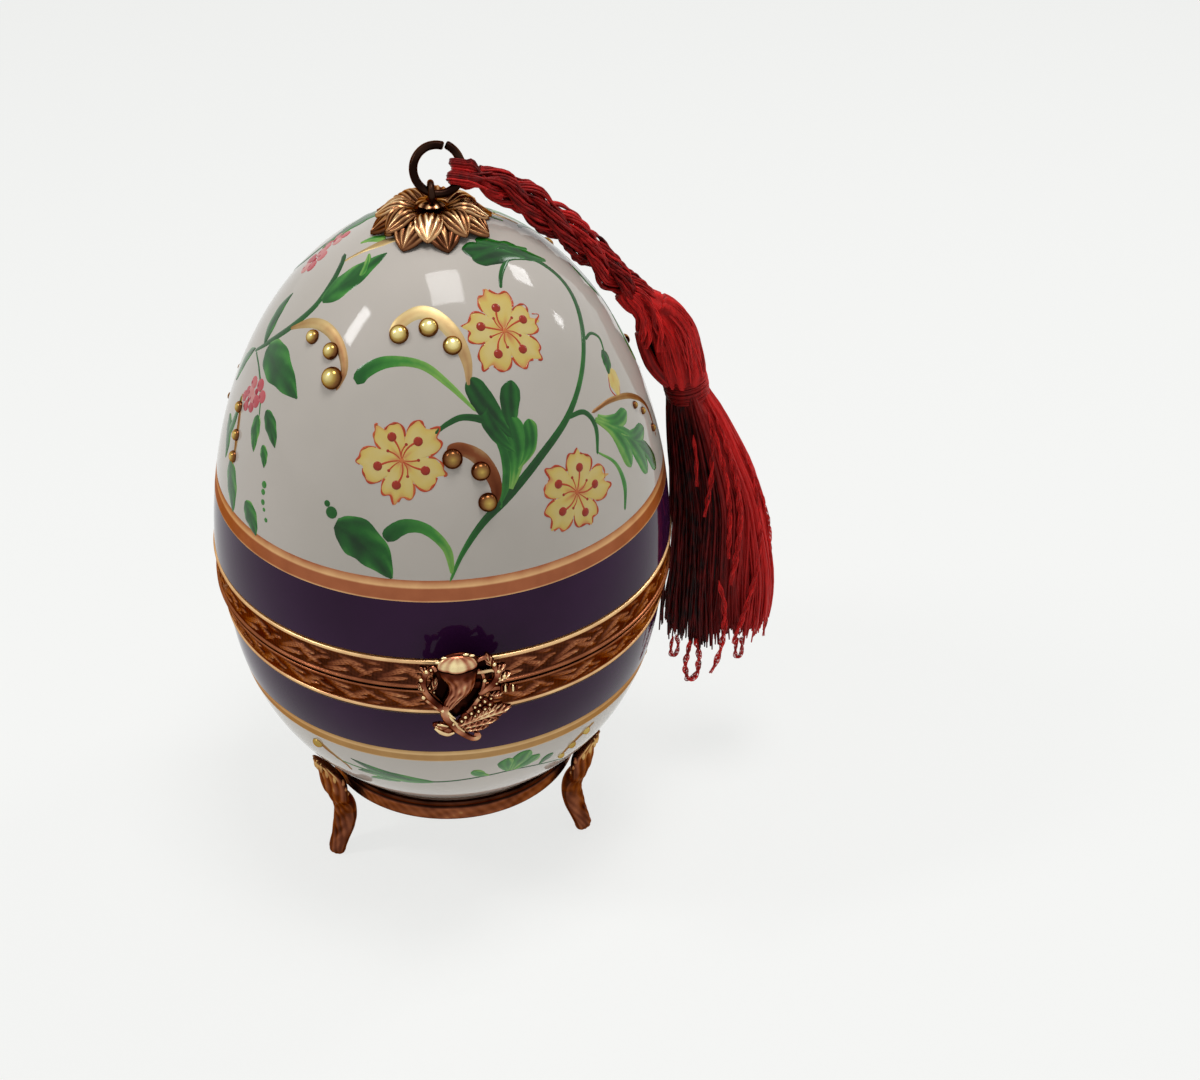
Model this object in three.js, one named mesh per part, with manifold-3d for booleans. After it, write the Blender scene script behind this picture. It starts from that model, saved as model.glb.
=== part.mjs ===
// Porcelain egg box on a three-footed stand, with a hinged lid, a clasp and a tasselled ring.
// Millimetres, +Z up. The origin is on the egg's axis, in the plane that the feet stand on.
// The clasp faces -Y, the hinge +Y, and the tassel hangs on the +X side.

import * as THREE from 'three';
import { mergeVertices } from 'three/addons/utils/BufferGeometryUtils.js';
import Module from 'manifold-3d';

const wasm = await Module();
wasm.setup();

// Clearance between pieces that touch
const GAP = 0.3;
// Clearance between the two layers of the finial's petals
const LAYER_GAP = 0.25;
// Radial clearance of a pin in its barrel
const PIN_PLAY = 0.15;

// Stand
const RING_CLEAR = 10.4;
const RING_HEIGHT = 3.6;
const RING_LAND = 0.7;
const RING_WIDTH = 3.2;
const RING_FLARE = 0.6;
const LEG_TURN = 120;
const LEG_LEAF_RISE = 3.3;
const LEG_LEAF_THICKNESS = 1.0;
const LEG_KNEE_THICKNESS = 2.4;
const LEG_ANKLE_THICKNESS = 2.7;
const LEG_KNEE_WIDTH = 6.2;
const LEG_ANKLE_WIDTH = 3.9;
const LEG_ANKLE_SET = 1.2;
const LEG_BOW = 0.9;
const LEG_SHOULDER = 1.0;
const LEG_STEP = 0.01;
const TOE_SWELL = 0.4;
const SOLE_RADIUS = 20;
const SOLE_LENGTH = 1.8;
const SOLE_WIDTH = 2.2;

// Gilt bezels round the mouth
const BEZEL_RADIUS = 30;
const SEAM_GAP = 0.3;
const UPPER_BEZEL_HEIGHT = 4.3;
const LOWER_BEZEL_HEIGHT = 4.25;
const BEZEL_SHEET = 0.8;
const BEZEL_FLANGE = 0.7;
const BEZEL_FLANGE_REACH = 3.2;
const BEZEL_BEAD = 0.7;
const BEZEL_BEAD_PROUD = 0.25;
const LOWER_BEZEL_PROUD = 0.15;

// Porcelain shells: the base and lid are swelled curves that meet near the seam.
// The lid lies just inside the bezels, and the base is a little slimmer.
const SEAM_ABOVE_RING = 29.4;
const LID_SET_IN = 0.06;
const LID_RISE = 48.4;
const LID_SWELL = 2.08;
const LID_ROUND = 0.51;
const BASE_SET_IN = 0.94;
const BASE_TIP_BELOW_RING = 6.8;
const BASE_SWELL = 2.36;
const BASE_ROUND = 0.56;
const BASE_FOOT_BELOW_RING = 2.5;
const SHELL_WALL = 2.4;
const RIM_WALL = 1.5;

// Hinge at the back
const KNUCKLE_RADIUS = 1.58;
const KNUCKLE_WIDTH = 3.2;
const CENTRE_KNUCKLE_WIDTH = 5;
const HINGE_PIN_RADIUS = 0.6;
const HINGE_LEAF = 0.8;
const HINGE_LEAF_MARGIN = 0.5;

// Clasp at the front
const CLASP_BARREL_RADIUS = 0.75;
const CLASP_BARREL_WIDTH = 2.8;
const CLASP_PIN_RADIUS = 0.35;
const CLASP_PIN_RISE = 2.9;
const LUG_WIDTH = 1.2;
const LUG_PLATE = 0.7;
const LUG_PLATE_HEIGHT = 2.6;
const SPRIG_GRID_WIDTH = 1;
const SPRIG_WIRE = 0.62;
const SPRIG_HALF_DEPTH = 0.68;
const LILY_RIM_RADIUS = 2.35;
const CLASP_LEAF_WIDTH = 3;
const BERRY_RADIUS = 0.62;
const BUD_RADIUS = 1.05;
const CATCH_RADIUS = 0.9;
const CATCH_PROUD = 0.4;
const CATCH_DROP = 2.1;
const CATCH_PAD_RADIUS = 1.0;

// Finial on the crown
const POST_RADIUS = 0.9;
const POST_HOLE_RADIUS = 1.2;
const PETAL_COUNT = 8;
const PETAL_THICKNESS = 0.4;
const PETAL_EDGE = 0.22;
const OUTER_PETAL_REACH = 7.6;
const INNER_PETAL_REACH = 5.9;
const OUTER_PETAL_WIDTH = 3.9;
const INNER_PETAL_WIDTH = 3.3;
const HUB_RADIUS = 2.5;
const POST_FLANGE_RADIUS = 1.8;
const POST_FLANGE = 0.35;
const EYE_RADIUS = 1.2;
const EYE_WIRE = 0.4;
const WASHER_RADIUS = 3;
const WASHER_THICKNESS = 0.8;
const NUT_RADIUS = 2.2;
const NUT_HEIGHT = 1.5;
const THREAD_END = 0.6;

// Jump ring, standing in the eye and leaning back
const JUMP_RING_RADIUS = 2.9;
const JUMP_RING_WIRE = 0.5;
const JUMP_RING_LEAN = 32;
const JUMP_RING_SLIP = 20;
const JUMP_RING_SPLIT = 16;

// Tassel, on a twisted cord
const CORD_DIAMETER = 3.8;
const CORD_ROUTE = [
  [5.7, 1.7, 95.7], [8.6, 2.2, 94.0], [12.2, 2.7, 91.4], [16.0, 3.2, 88.0],
  [19.6, 3.6, 84.0], [22.8, 3.9, 80.2], [25.5, 4.0, 77.3], [27.9, 4.0, 74.85],
];
const HEAD_RADIUS = 3.5;
const HEAD_TILT = 12;
const HEAD_LENGTH = 6.4;
const NECK_RADIUS = 2.4;
const NECK_LENGTH = 3.6;
const BINDING_THICKNESS = 0.5;
const BINDING_HEIGHT = 3;
const SKIRT_LENGTH = 43;
const SKIRT_HALF_WIDTH = 7.5;
const SKIRT_HALF_DEPTH = 5.2;
const SKIRT_FULLNESS = 2.4;
const SKIRT_HEM = 0.86;
const TASSEL_CLEAR = 0.4;

// Fineness of the round surfaces
const ROUND = 56;
const MEDIUM_ROUND = 24;
const SMALL_ROUND = 20;
const LOFT_SIDES = 12;
const THIN_SIDES = 8;
const STEM_SIDES = 6;
const CURVE_STEPS = 9;
const SEAT_STEPS = 4;
const DOME_STEPS = 8;
const JUMP_RING_STEPS = 36;

// Heights and radii that follow from the sizes above
const lidFull = BEZEL_RADIUS - LID_SET_IN;
const baseFull = BEZEL_RADIUS - BASE_SET_IN;
const baseDepth = SEAM_ABOVE_RING + BASE_TIP_BELOW_RING;
const footDrop = SEAM_ABOVE_RING + BASE_FOOT_BELOW_RING;
const ringTop = RING_CLEAR + RING_HEIGHT;
const seam = ringTop + SEAM_ABOVE_RING;
const lidEdge = seam + SEAM_GAP / 2;
const baseEdge = seam - SEAM_GAP / 2;
const lowerBezelFarRadius = baseFull + LOWER_BEZEL_PROUD;
const ringTopRadius = baseRadius(seam - ringTop, -GAP) + RING_LAND;
const ringBottomRadius = ringTopRadius - RING_FLARE;
const ringBore = ringTopRadius - RING_WIDTH;
const hingeOffset = BEZEL_RADIUS + GAP + KNUCKLE_RADIUS;
const claspOffset = BEZEL_RADIUS + GAP + CLASP_BARREL_RADIUS;
const sprigOffset = claspOffset + CLASP_BARREL_RADIUS + GAP + SPRIG_HALF_DEPTH;
const claspPinHeight = seam + CLASP_PIN_RISE;
const catchEdges = [CATCH_DROP - CATCH_RADIUS, CATCH_DROP + CATCH_RADIUS];
const catchFace = Math.max(...catchEdges.map(lowerBandRadius)) + GAP;
const crown = seam + LID_RISE;
const innerPetalsTop = crown + LAYER_GAP + PETAL_THICKNESS + LAYER_GAP + PETAL_THICKNESS;
const postFlangeTop = innerPetalsTop + LAYER_GAP + POST_FLANGE;
const eyeHeight = postFlangeTop + EYE_RADIUS - EYE_WIRE / 2;

const radians = THREE.MathUtils.degToRad;

// Materials, as photographed
const porcelain = finish(0xe9e8e4, 0.12, 0);
const gilt = finish(0xb98a5e, 0.3, 1);
const copperGilt = finish(0x9a5f45, 0.35, 1);
const darkBronze = finish(0x4a3226, 0.4, 1);
const brass = finish(0xb5a062, 0.35, 1);
const silk = finish(0xa80f1c, 0.6, 0);

function finish(color, roughness, metalness) {
  return new THREE.MeshStandardMaterial({ color, roughness, metalness });
}

// Radius of the lid at a height above the seam, with an inset for its inner face
function lidRadius(rise, inset = 0) {
  const share = THREE.MathUtils.clamp(rise / (LID_RISE - inset), 0, 1);
  return (lidFull - inset) * (1 - share ** LID_SWELL) ** LID_ROUND;
}

// Height of the lid's face above the seam, at a radius
function lidRise(radius, inset = 0) {
  const share = THREE.MathUtils.clamp(radius / (lidFull - inset), 0, 1);
  return (LID_RISE - inset) * (1 - share ** (1 / LID_ROUND)) ** (1 / LID_SWELL);
}

// Radius of the base at a depth below the seam
function baseRadius(drop, inset = 0) {
  const share = THREE.MathUtils.clamp(drop / (baseDepth - inset), 0, 1);
  return (baseFull - inset) * (1 - share ** BASE_SWELL) ** BASE_ROUND;
}

// Depth of the base's face below the seam, at a radius
function baseDrop(radius, inset = 0) {
  const share = THREE.MathUtils.clamp(radius / (baseFull - inset), 0, 1);
  return (baseDepth - inset) * (1 - share ** (1 / BASE_ROUND)) ** (1 / BASE_SWELL);
}

// Radius of the lower bezel's band, between its beads, at a depth below the bezel's edge
function lowerBandRadius(drop) {
  const start = BEZEL_BEAD + BEZEL_BEAD_PROUD;
  const share = (drop - start) / (LOWER_BEZEL_HEIGHT - 2 * start);
  return THREE.MathUtils.lerp(BEZEL_RADIUS, lowerBezelFarRadius, share) - BEZEL_BEAD_PROUD;
}

// Solid with merged vertices, ready to be joined or cut
function solid(geometry) {
  const bare = geometry.clone();
  bare.deleteAttribute('normal');
  bare.deleteAttribute('uv');
  const merged = mergeVertices(bare, 1e-4);
  const corners = merged.index.array;
  const kept = [];
  for (let i = 0; i < corners.length; i += 3) {
    const [a, b, c] = corners.slice(i, i + 3);
    if (a !== b && b !== c && c !== a) {
      kept.push(a, b, c);
    }
  }
  const vertProperties = new Float32Array(merged.attributes.position.array);
  return new wasm.Manifold(new wasm.Mesh({ numProp: 3, vertProperties, triVerts: new Uint32Array(kept) }));
}

function joined(pieces) {
  return pieces.map(solid).reduce((whole, piece) => whole.add(piece));
}

function geometryOf(manifold) {
  const mesh = manifold.getMesh();
  const geometry = new THREE.BufferGeometry();
  geometry.setAttribute('position', new THREE.BufferAttribute(mesh.vertProperties, 3));
  geometry.setIndex(new THREE.BufferAttribute(mesh.triVerts, 1));
  geometry.computeVertexNormals();
  return geometry;
}

// Body turned about Z from an outline of [radius, height] points, anticlockwise
function turned(outline, segments = ROUND) {
  const points = outline.map(([radius, height]) => new THREE.Vector2(radius, height));
  return new THREE.LatheGeometry(points, segments).rotateX(Math.PI / 2);
}

function closed(outline) {
  return [...outline, outline[0]];
}

// Solid cylinder along X, centred on the origin
function bar(radius, length, segments = SMALL_ROUND) {
  return new THREE.CylinderGeometry(radius, radius, length, segments).rotateZ(Math.PI / 2);
}

function box(low, high) {
  const size = high.map((value, i) => value - low[i]);
  const middle = high.map((value, i) => (value + low[i]) / 2);
  return new THREE.BoxGeometry(...size).translate(...middle);
}

// Closed body through rings of points, each ring with the same number of points
function lofted(rings) {
  const count = rings[0].length;
  const middle = (ring) => ring.reduce((sum, p) => sum.add(p), new THREE.Vector3()).divideScalar(count);
  const points = [...rings.flat(), middle(rings[0]), middle(rings.at(-1))];
  const first = rings.length * count;
  const faces = [];
  for (let i = 0; i < count; i += 1) {
    const next = (i + 1) % count;
    for (let j = 0; j + 1 < rings.length; j += 1) {
      const here = j * count;
      const above = here + count;
      faces.push(here + i, here + next, above + next, here + i, above + next, above + i);
    }
    const last = first - count;
    faces.push(first, next, i, first + 1, last + i, last + next);
  }
  const geometry = new THREE.BufferGeometry();
  geometry.setAttribute('position', new THREE.Float32BufferAttribute(points.flatMap((p) => p.toArray()), 3));
  geometry.setAttribute('normal', new THREE.Float32BufferAttribute(points.length * 3, 3));
  geometry.setAttribute('uv', new THREE.Float32BufferAttribute(points.length * 2, 2));
  geometry.setIndex(faces);
  return geometry;
}

// Ring of points on an ellipse in the plane of two half-axes
function ellipse(centre, across, along, count) {
  return Array.from({ length: count }, (_, i) => {
    const angle = (2 * Math.PI * i) / count;
    return centre.clone().addScaledVector(across, Math.cos(angle)).addScaledVector(along, Math.sin(angle));
  });
}

// Round tube along a curve
function tube(curve, radius, sides, steps) {
  const section = new THREE.Shape(
    Array.from({ length: sides }, (_, i) => {
      const angle = (2 * Math.PI * i) / sides;
      return new THREE.Vector2(radius * Math.cos(angle), radius * Math.sin(angle));
    }),
  );
  return new THREE.ExtrudeGeometry(section, { steps, extrudePath: curve, bevelEnabled: false });
}

function smooth(points) {
  return new THREE.CatmullRomCurve3(points.map((p) => new THREE.Vector3(...p)));
}

function piece(name, geometry, material) {
  const mesh = new THREE.Mesh(geometry, material);
  mesh.name = name;
  return mesh;
}

// Points of a curve between two radii, evenly spaced by angle, as [radius, height]
function swept(fromRadius, toRadius, fullRadius, heightAt, steps = CURVE_STEPS) {
  const start = Math.acos(THREE.MathUtils.clamp(fromRadius / fullRadius, 0, 1));
  const end = Math.acos(THREE.MathUtils.clamp(toRadius / fullRadius, 0, 1));
  return Array.from({ length: steps + 1 }, (_, i) => {
    const radius = fullRadius * Math.cos(start + ((end - start) * i) / steps);
    return [radius, heightAt(radius)];
  });
}

// Lid: a rebate for the bezel at its mouth and a hole for the finial's post in its crown
function upperShell() {
  const mouth = lidEdge + BEZEL_FLANGE + GAP;
  const ledge = lidEdge + UPPER_BEZEL_HEIGHT + GAP;
  const rebate = BEZEL_RADIUS - BEZEL_SHEET - GAP;
  const outer = swept(lidRadius(ledge - seam), POST_HOLE_RADIUS, lidFull, (r) => seam + lidRise(r));
  const innerFull = lidFull - SHELL_WALL;
  const innerMouth = Math.min(lidRadius(mouth - seam, SHELL_WALL), rebate - RIM_WALL);
  const inner = swept(innerMouth, POST_HOLE_RADIUS, innerFull, (r) => seam + lidRise(r, SHELL_WALL));
  const outline = [[innerMouth, mouth], [rebate, mouth], [rebate, ledge], ...outer, ...inner.reverse()];
  outline.pop();
  return piece('upper_shell', geometryOf(solid(turned(closed(outline)))), porcelain);
}

// Base: the same rebate at its mouth, and a flat foot that stands inside the ring
function lowerShell() {
  const mouth = baseEdge - BEZEL_FLANGE - GAP;
  const ledge = baseEdge - LOWER_BEZEL_HEIGHT - GAP;
  const foot = seam - footDrop;
  const rebate = lowerBezelFarRadius - BEZEL_SHEET - GAP;
  const footRadius = baseRadius(footDrop);
  const outer = swept(footRadius, baseRadius(seam - ledge), baseFull, (r) => seam - baseDrop(r));
  const innerFull = baseFull - SHELL_WALL;
  const floorRadius = baseRadius(footDrop - SHELL_WALL, SHELL_WALL);
  const innerMouth = Math.min(baseRadius(seam - mouth, SHELL_WALL), rebate - RIM_WALL);
  const inner = swept(innerMouth, floorRadius, innerFull, (r) => seam - baseDrop(r, SHELL_WALL));
  const outline = [
    [0, foot], ...outer, [rebate, ledge], [rebate, mouth], [innerMouth, mouth],
    ...inner.slice(1), [0, foot + SHELL_WALL],
  ];
  return piece('lower_shell', geometryOf(solid(turned(outline))), porcelain);
}

// Outline of a bezel, as [radius, distance from the seam's edge]: a flange over the porcelain's
// mouth, and a band between two beads
function bezelOutline(farRadius, height) {
  const inside = BEZEL_RADIUS - BEZEL_FLANGE_REACH;
  const bandStart = BEZEL_BEAD + BEZEL_BEAD_PROUD;
  const bandEnd = height - bandStart;
  return [
    [inside, 0], [BEZEL_RADIUS, 0], [BEZEL_RADIUS, BEZEL_BEAD],
    [BEZEL_RADIUS - BEZEL_BEAD_PROUD, bandStart], [farRadius - BEZEL_BEAD_PROUD, bandEnd],
    [farRadius, height - BEZEL_BEAD], [farRadius, height], [farRadius - BEZEL_SHEET, height],
    [BEZEL_RADIUS - BEZEL_SHEET, BEZEL_FLANGE], [inside, BEZEL_FLANGE],
  ];
}

function upperBezel() {
  const outline = bezelOutline(BEZEL_RADIUS, UPPER_BEZEL_HEIGHT).map(([r, d]) => [r, lidEdge + d]);
  return piece('upper_bezel', turned(closed(outline)), copperGilt);
}

function lowerBezel() {
  const outline = bezelOutline(lowerBezelFarRadius, LOWER_BEZEL_HEIGHT).map(([r, d]) => [r, baseEdge - d]);
  return piece('lower_bezel', turned(closed(outline.reverse())), copperGilt);
}

// Space that the bezels and their clearance take, to cut what is fixed against them
function bezelSpace() {
  const top = lidEdge + UPPER_BEZEL_HEIGHT;
  const bottom = baseEdge - LOWER_BEZEL_HEIGHT;
  return turned([
    [0, bottom], [lowerBezelFarRadius + GAP, bottom], [BEZEL_RADIUS + GAP, baseEdge],
    [BEZEL_RADIUS + GAP, top], [0, top],
  ], ROUND * 2);
}

// Ring of the stand: its seat follows the base, and its outside flares upwards
function standRing() {
  const seatHeight = (radius) => seam - baseDrop(radius, -GAP);
  const seat = swept(ringTopRadius - RING_LAND, ringBore, baseFull + GAP, seatHeight, SEAT_STEPS);
  const fillet = RING_HEIGHT / 3;
  const outline = [
    [ringBore, RING_CLEAR], [ringBottomRadius, RING_CLEAR],
    [ringTopRadius - RING_LAND / 4, ringTop - fillet],
    [ringTopRadius - RING_LAND / 2, ringTop - fillet], [ringTopRadius, ringTop - fillet / 2],
    [ringTopRadius, ringTop], ...seat,
  ];
  return piece('stand_ring', turned(closed(outline)), copperGilt);
}

// Inner face of a leg at a height: clear of the ring, and of the base above it
function legBack(height) {
  const porcelainFace = baseRadius(seam - height, -GAP);
  const ringFace = height <= ringTop + GAP ? ringTopRadius + GAP : 0;
  return Math.max(porcelainFace, ringFace);
}

// Cabriole leg: leaf against the base, knee on the ring, ankle drawn in, toe turned out.
// Each row is a level section: height, inner face, thickness and width.
function legGeometry() {
  const leafTop = ringTop + LEG_LEAF_RISE;
  const underRing = RING_CLEAR - GAP;
  const kneeBack = ringTopRadius + GAP;
  const ankleBack = ringBore + LEG_ANKLE_SET;
  const toeBack = SOLE_RADIUS - SOLE_LENGTH / 2;
  const ankle = LEG_ANKLE_THICKNESS;
  const knee = LEG_KNEE_THICKNESS;
  const shoulderWidth = LEG_ANKLE_WIDTH + LEG_SHOULDER;
  const leafMiddle = (ringTop + leafTop) / 2;
  const rows = [
    [0, toeBack, SOLE_LENGTH, SOLE_WIDTH],
    [RING_CLEAR * 0.07, toeBack - TOE_SWELL * 0.4, SOLE_LENGTH + TOE_SWELL, SOLE_WIDTH + TOE_SWELL],
    [RING_CLEAR * 0.2, toeBack - TOE_SWELL * 1.8, SOLE_LENGTH + TOE_SWELL * 0.6, SOLE_WIDTH + TOE_SWELL],
    [RING_CLEAR * 0.4, ankleBack + LEG_BOW, ankle, LEG_ANKLE_WIDTH],
    [RING_CLEAR * 0.62, ankleBack + LEG_BOW * 0.7, ankle, LEG_ANKLE_WIDTH],
    [RING_CLEAR * 0.82, ankleBack + LEG_BOW * 0.9, ankle * 1.07, LEG_ANKLE_WIDTH + LEG_SHOULDER / 2],
    [underRing, ankleBack + LEG_BOW * 1.45, kneeBack - ankleBack, shoulderWidth],
    [underRing + LEG_STEP, kneeBack, knee * 0.7, shoulderWidth],
    [ringTop - RING_HEIGHT / 3, legBack(ringTop), knee, LEG_KNEE_WIDTH],
    [ringTop + GAP, legBack(ringTop + GAP), knee, LEG_KNEE_WIDTH],
    [leafMiddle, legBack(leafMiddle), knee * 0.7, LEG_KNEE_WIDTH],
    [leafTop, legBack(leafTop), LEG_LEAF_THICKNESS, LEG_KNEE_WIDTH * 0.55],
  ];
  const rings = rows.map(([height, back, thickness, width]) => {
    const centre = new THREE.Vector3(0, back + thickness / 2, height);
    const across = new THREE.Vector3(-width / 2, 0, 0);
    return ellipse(centre, across, new THREE.Vector3(0, -thickness / 2, 0), LOFT_SIDES);
  });
  return geometryOf(solid(lofted(rings)));
}

function legs() {
  const geometry = legGeometry();
  return ['foot_rear', 'foot_left', 'foot_right'].map((name, i) => {
    const leg = piece(name, geometry, copperGilt);
    leg.rotation.z = radians(i * LEG_TURN);
    return leg;
  });
}

// Knuckle of the hinge with its leaf, which lies on the bezel above (side 1) or below (side -1)
function knuckle(name, middle, width, side) {
  const height = side > 0 ? UPPER_BEZEL_HEIGHT : LOWER_BEZEL_HEIGHT;
  const near = seam + (side * SEAM_GAP) / 2;
  const far = near + side * (height - HINGE_LEAF_MARGIN);
  const barrel = bar(KNUCKLE_RADIUS, width).translate(middle, hingeOffset, seam);
  const leaf = box(
    [middle - width / 2, BEZEL_RADIUS - KNUCKLE_RADIUS, Math.min(near, far)],
    [middle + width / 2, BEZEL_RADIUS + GAP + HINGE_LEAF, Math.max(near, far)],
  );
  const bore = bar(HINGE_PIN_RADIUS + PIN_PLAY, width * 2).translate(middle, hingeOffset, seam);
  const whole = joined([barrel, leaf]).subtract(solid(bezelSpace())).subtract(solid(bore));
  return piece(name, geometryOf(whole), copperGilt);
}

function hingePin() {
  const length = CENTRE_KNUCKLE_WIDTH + 2 * (KNUCKLE_WIDTH + GAP) + GAP;
  const pin = piece('hinge_pin', bar(HINGE_PIN_RADIUS, length), gilt);
  pin.position.set(0, hingeOffset, seam);
  return pin;
}

function hinge() {
  const group = new THREE.Group();
  const aside = (CENTRE_KNUCKLE_WIDTH + KNUCKLE_WIDTH) / 2 + GAP;
  group.add(
    knuckle('hinge_knuckle_left', -aside, KNUCKLE_WIDTH, -1),
    knuckle('hinge_knuckle_right', aside, KNUCKLE_WIDTH, -1),
    knuckle('hinge_knuckle_centre', 0, CENTRE_KNUCKLE_WIDTH, 1),
    hingePin(),
  );
  return group;
}

// Space that the clasp's pin and its play take, to cut the pieces that it passes through
function claspBore(length) {
  return bar(CLASP_PIN_RADIUS + PIN_PLAY, length).translate(0, -claspOffset, claspPinHeight);
}

// Lug on the upper bezel that holds the clasp's pin
function claspLug(name, side) {
  const middle = side * (CLASP_BARREL_WIDTH / 2 + GAP + LUG_WIDTH / 2);
  const barrel = bar(CLASP_BARREL_RADIUS, LUG_WIDTH).translate(middle, -claspOffset, claspPinHeight);
  const plate = box(
    [middle - LUG_WIDTH / 2, -BEZEL_RADIUS - GAP - LUG_PLATE, claspPinHeight - LUG_PLATE_HEIGHT / 2],
    [middle + LUG_WIDTH / 2, -BEZEL_RADIUS + LUG_PLATE, claspPinHeight + LUG_PLATE_HEIGHT / 2 - GAP * 2],
  );
  const bore = claspBore(LUG_WIDTH * 2).translate(middle, 0, 0);
  const whole = joined([barrel, plate]).subtract(solid(bezelSpace())).subtract(solid(bore));
  return piece(name, geometryOf(whole), copperGilt);
}

function claspPin() {
  const pin = piece('clasp_pin', bar(CLASP_PIN_RADIUS, CLASP_BARREL_WIDTH + 2 * (LUG_WIDTH + GAP)), gilt);
  pin.position.set(0, -claspOffset, claspPinHeight);
  return pin;
}

// Point of the sprig's drawing: across and above the seam, in squares of its grid
function sprigPoint([across, above]) {
  return new THREE.Vector3(across * SPRIG_GRID_WIDTH, -sprigOffset, seam + above * SPRIG_GRID_WIDTH);
}

// Lily of the clasp: a hooded cup that bows as it narrows down into the stem
function lily() {
  // Middle of each section on the sprig's grid, with its share of the rim's radius
  const sections = [
    [-2.9, 0.0, 0.26], [-2.1, 1.4, 0.42], [-1.3, 2.9, 0.5],
    [-1.3, 4.2, 0.72], [-1.4, 5.9, 1], [-1.3, 7.2, 0.62],
  ];
  const rings = sections.map(([x, above, share]) => {
    const centre = sprigPoint([x, above]);
    const across = new THREE.Vector3(LILY_RIM_RADIUS * share, 0, 0);
    const deep = new THREE.Vector3(0, SPRIG_HALF_DEPTH * (0.7 + share * 0.3), 0);
    return ellipse(centre, across, deep, LOFT_SIDES);
  });
  return lofted(rings);
}

// Leaf of the clasp: flat and pointed, from its stalk to its tip
function claspLeaf(from, to, width) {
  const start = sprigPoint(from);
  const end = sprigPoint(to);
  const along = end.clone().sub(start).normalize();
  const sideways = new THREE.Vector3(0, 1, 0).cross(along);
  const shares = [0.25, 0.8, 1, 0.85, 0.2];
  const rings = shares.map((share, i) => {
    const centre = start.clone().lerp(end, i / (shares.length - 1));
    const across = sideways.clone().multiplyScalar((width / 2) * share);
    return ellipse(centre, across, new THREE.Vector3(0, SPRIG_WIRE * (0.5 + share * 0.3), 0), THIN_SIDES);
  });
  return lofted(rings);
}

function stemTube(points) {
  const curve = new THREE.CatmullRomCurve3(points.map(sprigPoint));
  return tube(curve, SPRIG_WIRE, STEM_SIDES, points.length * 2);
}

// Berry or bud: a round body flattened to the depth of the stems
function roundBody(radius, place) {
  const body = new THREE.SphereGeometry(radius, THIN_SIDES, STEM_SIDES).scale(1, SPRIG_WIRE / radius, 1);
  return body.translate(...sprigPoint(place));
}

// Sprig of the clasp: one openwork casting that swings on the clasp's pin
function claspSprig() {
  const barrel = bar(CLASP_BARREL_RADIUS, CLASP_BARREL_WIDTH).translate(0, -claspOffset, claspPinHeight);
  const tongue = box(
    [-CLASP_BARREL_WIDTH / 2, -sprigOffset, claspPinHeight - CLASP_BARREL_RADIUS],
    [CLASP_BARREL_WIDTH / 2, -claspOffset, claspPinHeight + CLASP_BARREL_RADIUS / 2],
  );
  const stems = [
    [[-4.1, 6.0], [-5.1, 5.4], [-5.2, 3.8], [-4.9, 2.2], [-3.9, 0.6], [-2.9, -1.8]],
    [[-2.6, 0.8], [-3.1, -0.6], [-2.7, -2.0], [-1.6, -3.8], [-0.3, -5.2], [0.7, -5.1]],
    [[-1.8, -3.0], [0.1, -0.6], [1.3, 1.2], [2.3, 2.6], [3.1, 4.0], [3.0, 5.6], [2.0, 6.5], [0.6, 6.1]],
    [[2.0, 2.0], [3.6, 2.0], [5.1, 1.9]],
    [[-3.5, -3.1], [-2.6, -3.7], [-1.6, -3.9]],
  ].map(stemTube);
  const berries = [[1.6, 0.5], [2.1, -0.3], [0.7, -0.7], [1.3, -1.4], [-0.5, -1.7]]
    .map((place) => roundBody(BERRY_RADIUS, place));
  const bud = roundBody(BUD_RADIUS, [-3.5, -3.2]);
  const leaf = claspLeaf([-1.6, -3.3], [4.8, -1.3], CLASP_LEAF_WIDTH);
  const padEnd = catchFace + CATCH_PROUD + GAP;
  const padLength = sprigOffset - padEnd;
  const pad = new THREE.CylinderGeometry(CATCH_PAD_RADIUS, CATCH_PAD_RADIUS, padLength, LOFT_SIDES)
    .translate(0, -padEnd - padLength / 2, baseEdge - CATCH_DROP);
  const cast = joined([barrel, tongue, pad, lily(), leaf, bud, ...stems, ...berries]);
  const bored = cast.subtract(solid(claspBore(CLASP_BARREL_WIDTH * 2)));
  return piece('clasp_sprig', geometryOf(bored), copperGilt);
}

// Domed stud on the lower bezel that the clasp snaps over
function catchStud() {
  const outline = [
    [0, catchFace], [CATCH_RADIUS, catchFace], [CATCH_RADIUS, catchFace + CATCH_PROUD / 2],
    [CATCH_RADIUS * 0.6, catchFace + CATCH_PROUD], [0, catchFace + CATCH_PROUD],
  ];
  const stud = piece('catch_stud', turned(outline, SMALL_ROUND), gilt);
  stud.rotation.x = Math.PI / 2;
  stud.position.z = baseEdge - CATCH_DROP;
  return stud;
}

function clasp() {
  const group = new THREE.Group();
  group.add(
    claspLug('clasp_lug_left', -1), claspLug('clasp_lug_right', 1),
    claspPin(), claspSprig(), catchStud(),
  );
  return group;
}

// Petal along +X on the crown: thick at its vein, thin at its edges
function petal(reach, width, layer) {
  const shares = [0.6, 0.95, 0.95, 0.55, 0.06];
  const start = HUB_RADIUS - PETAL_THICKNESS;
  const rings = shares.map((share, i) => {
    const radius = THREE.MathUtils.lerp(start, reach, i / (shares.length - 1));
    const half = (width / 2) * share;
    const floor = seam + lidRise(radius) + layer;
    return [
      [half, floor], [half, floor + PETAL_EDGE], [0, floor + PETAL_THICKNESS],
      [-half, floor + PETAL_EDGE], [-half, floor],
    ].map(([y, z]) => new THREE.Vector3(radius, y, z));
  });
  return lofted(rings);
}

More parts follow.
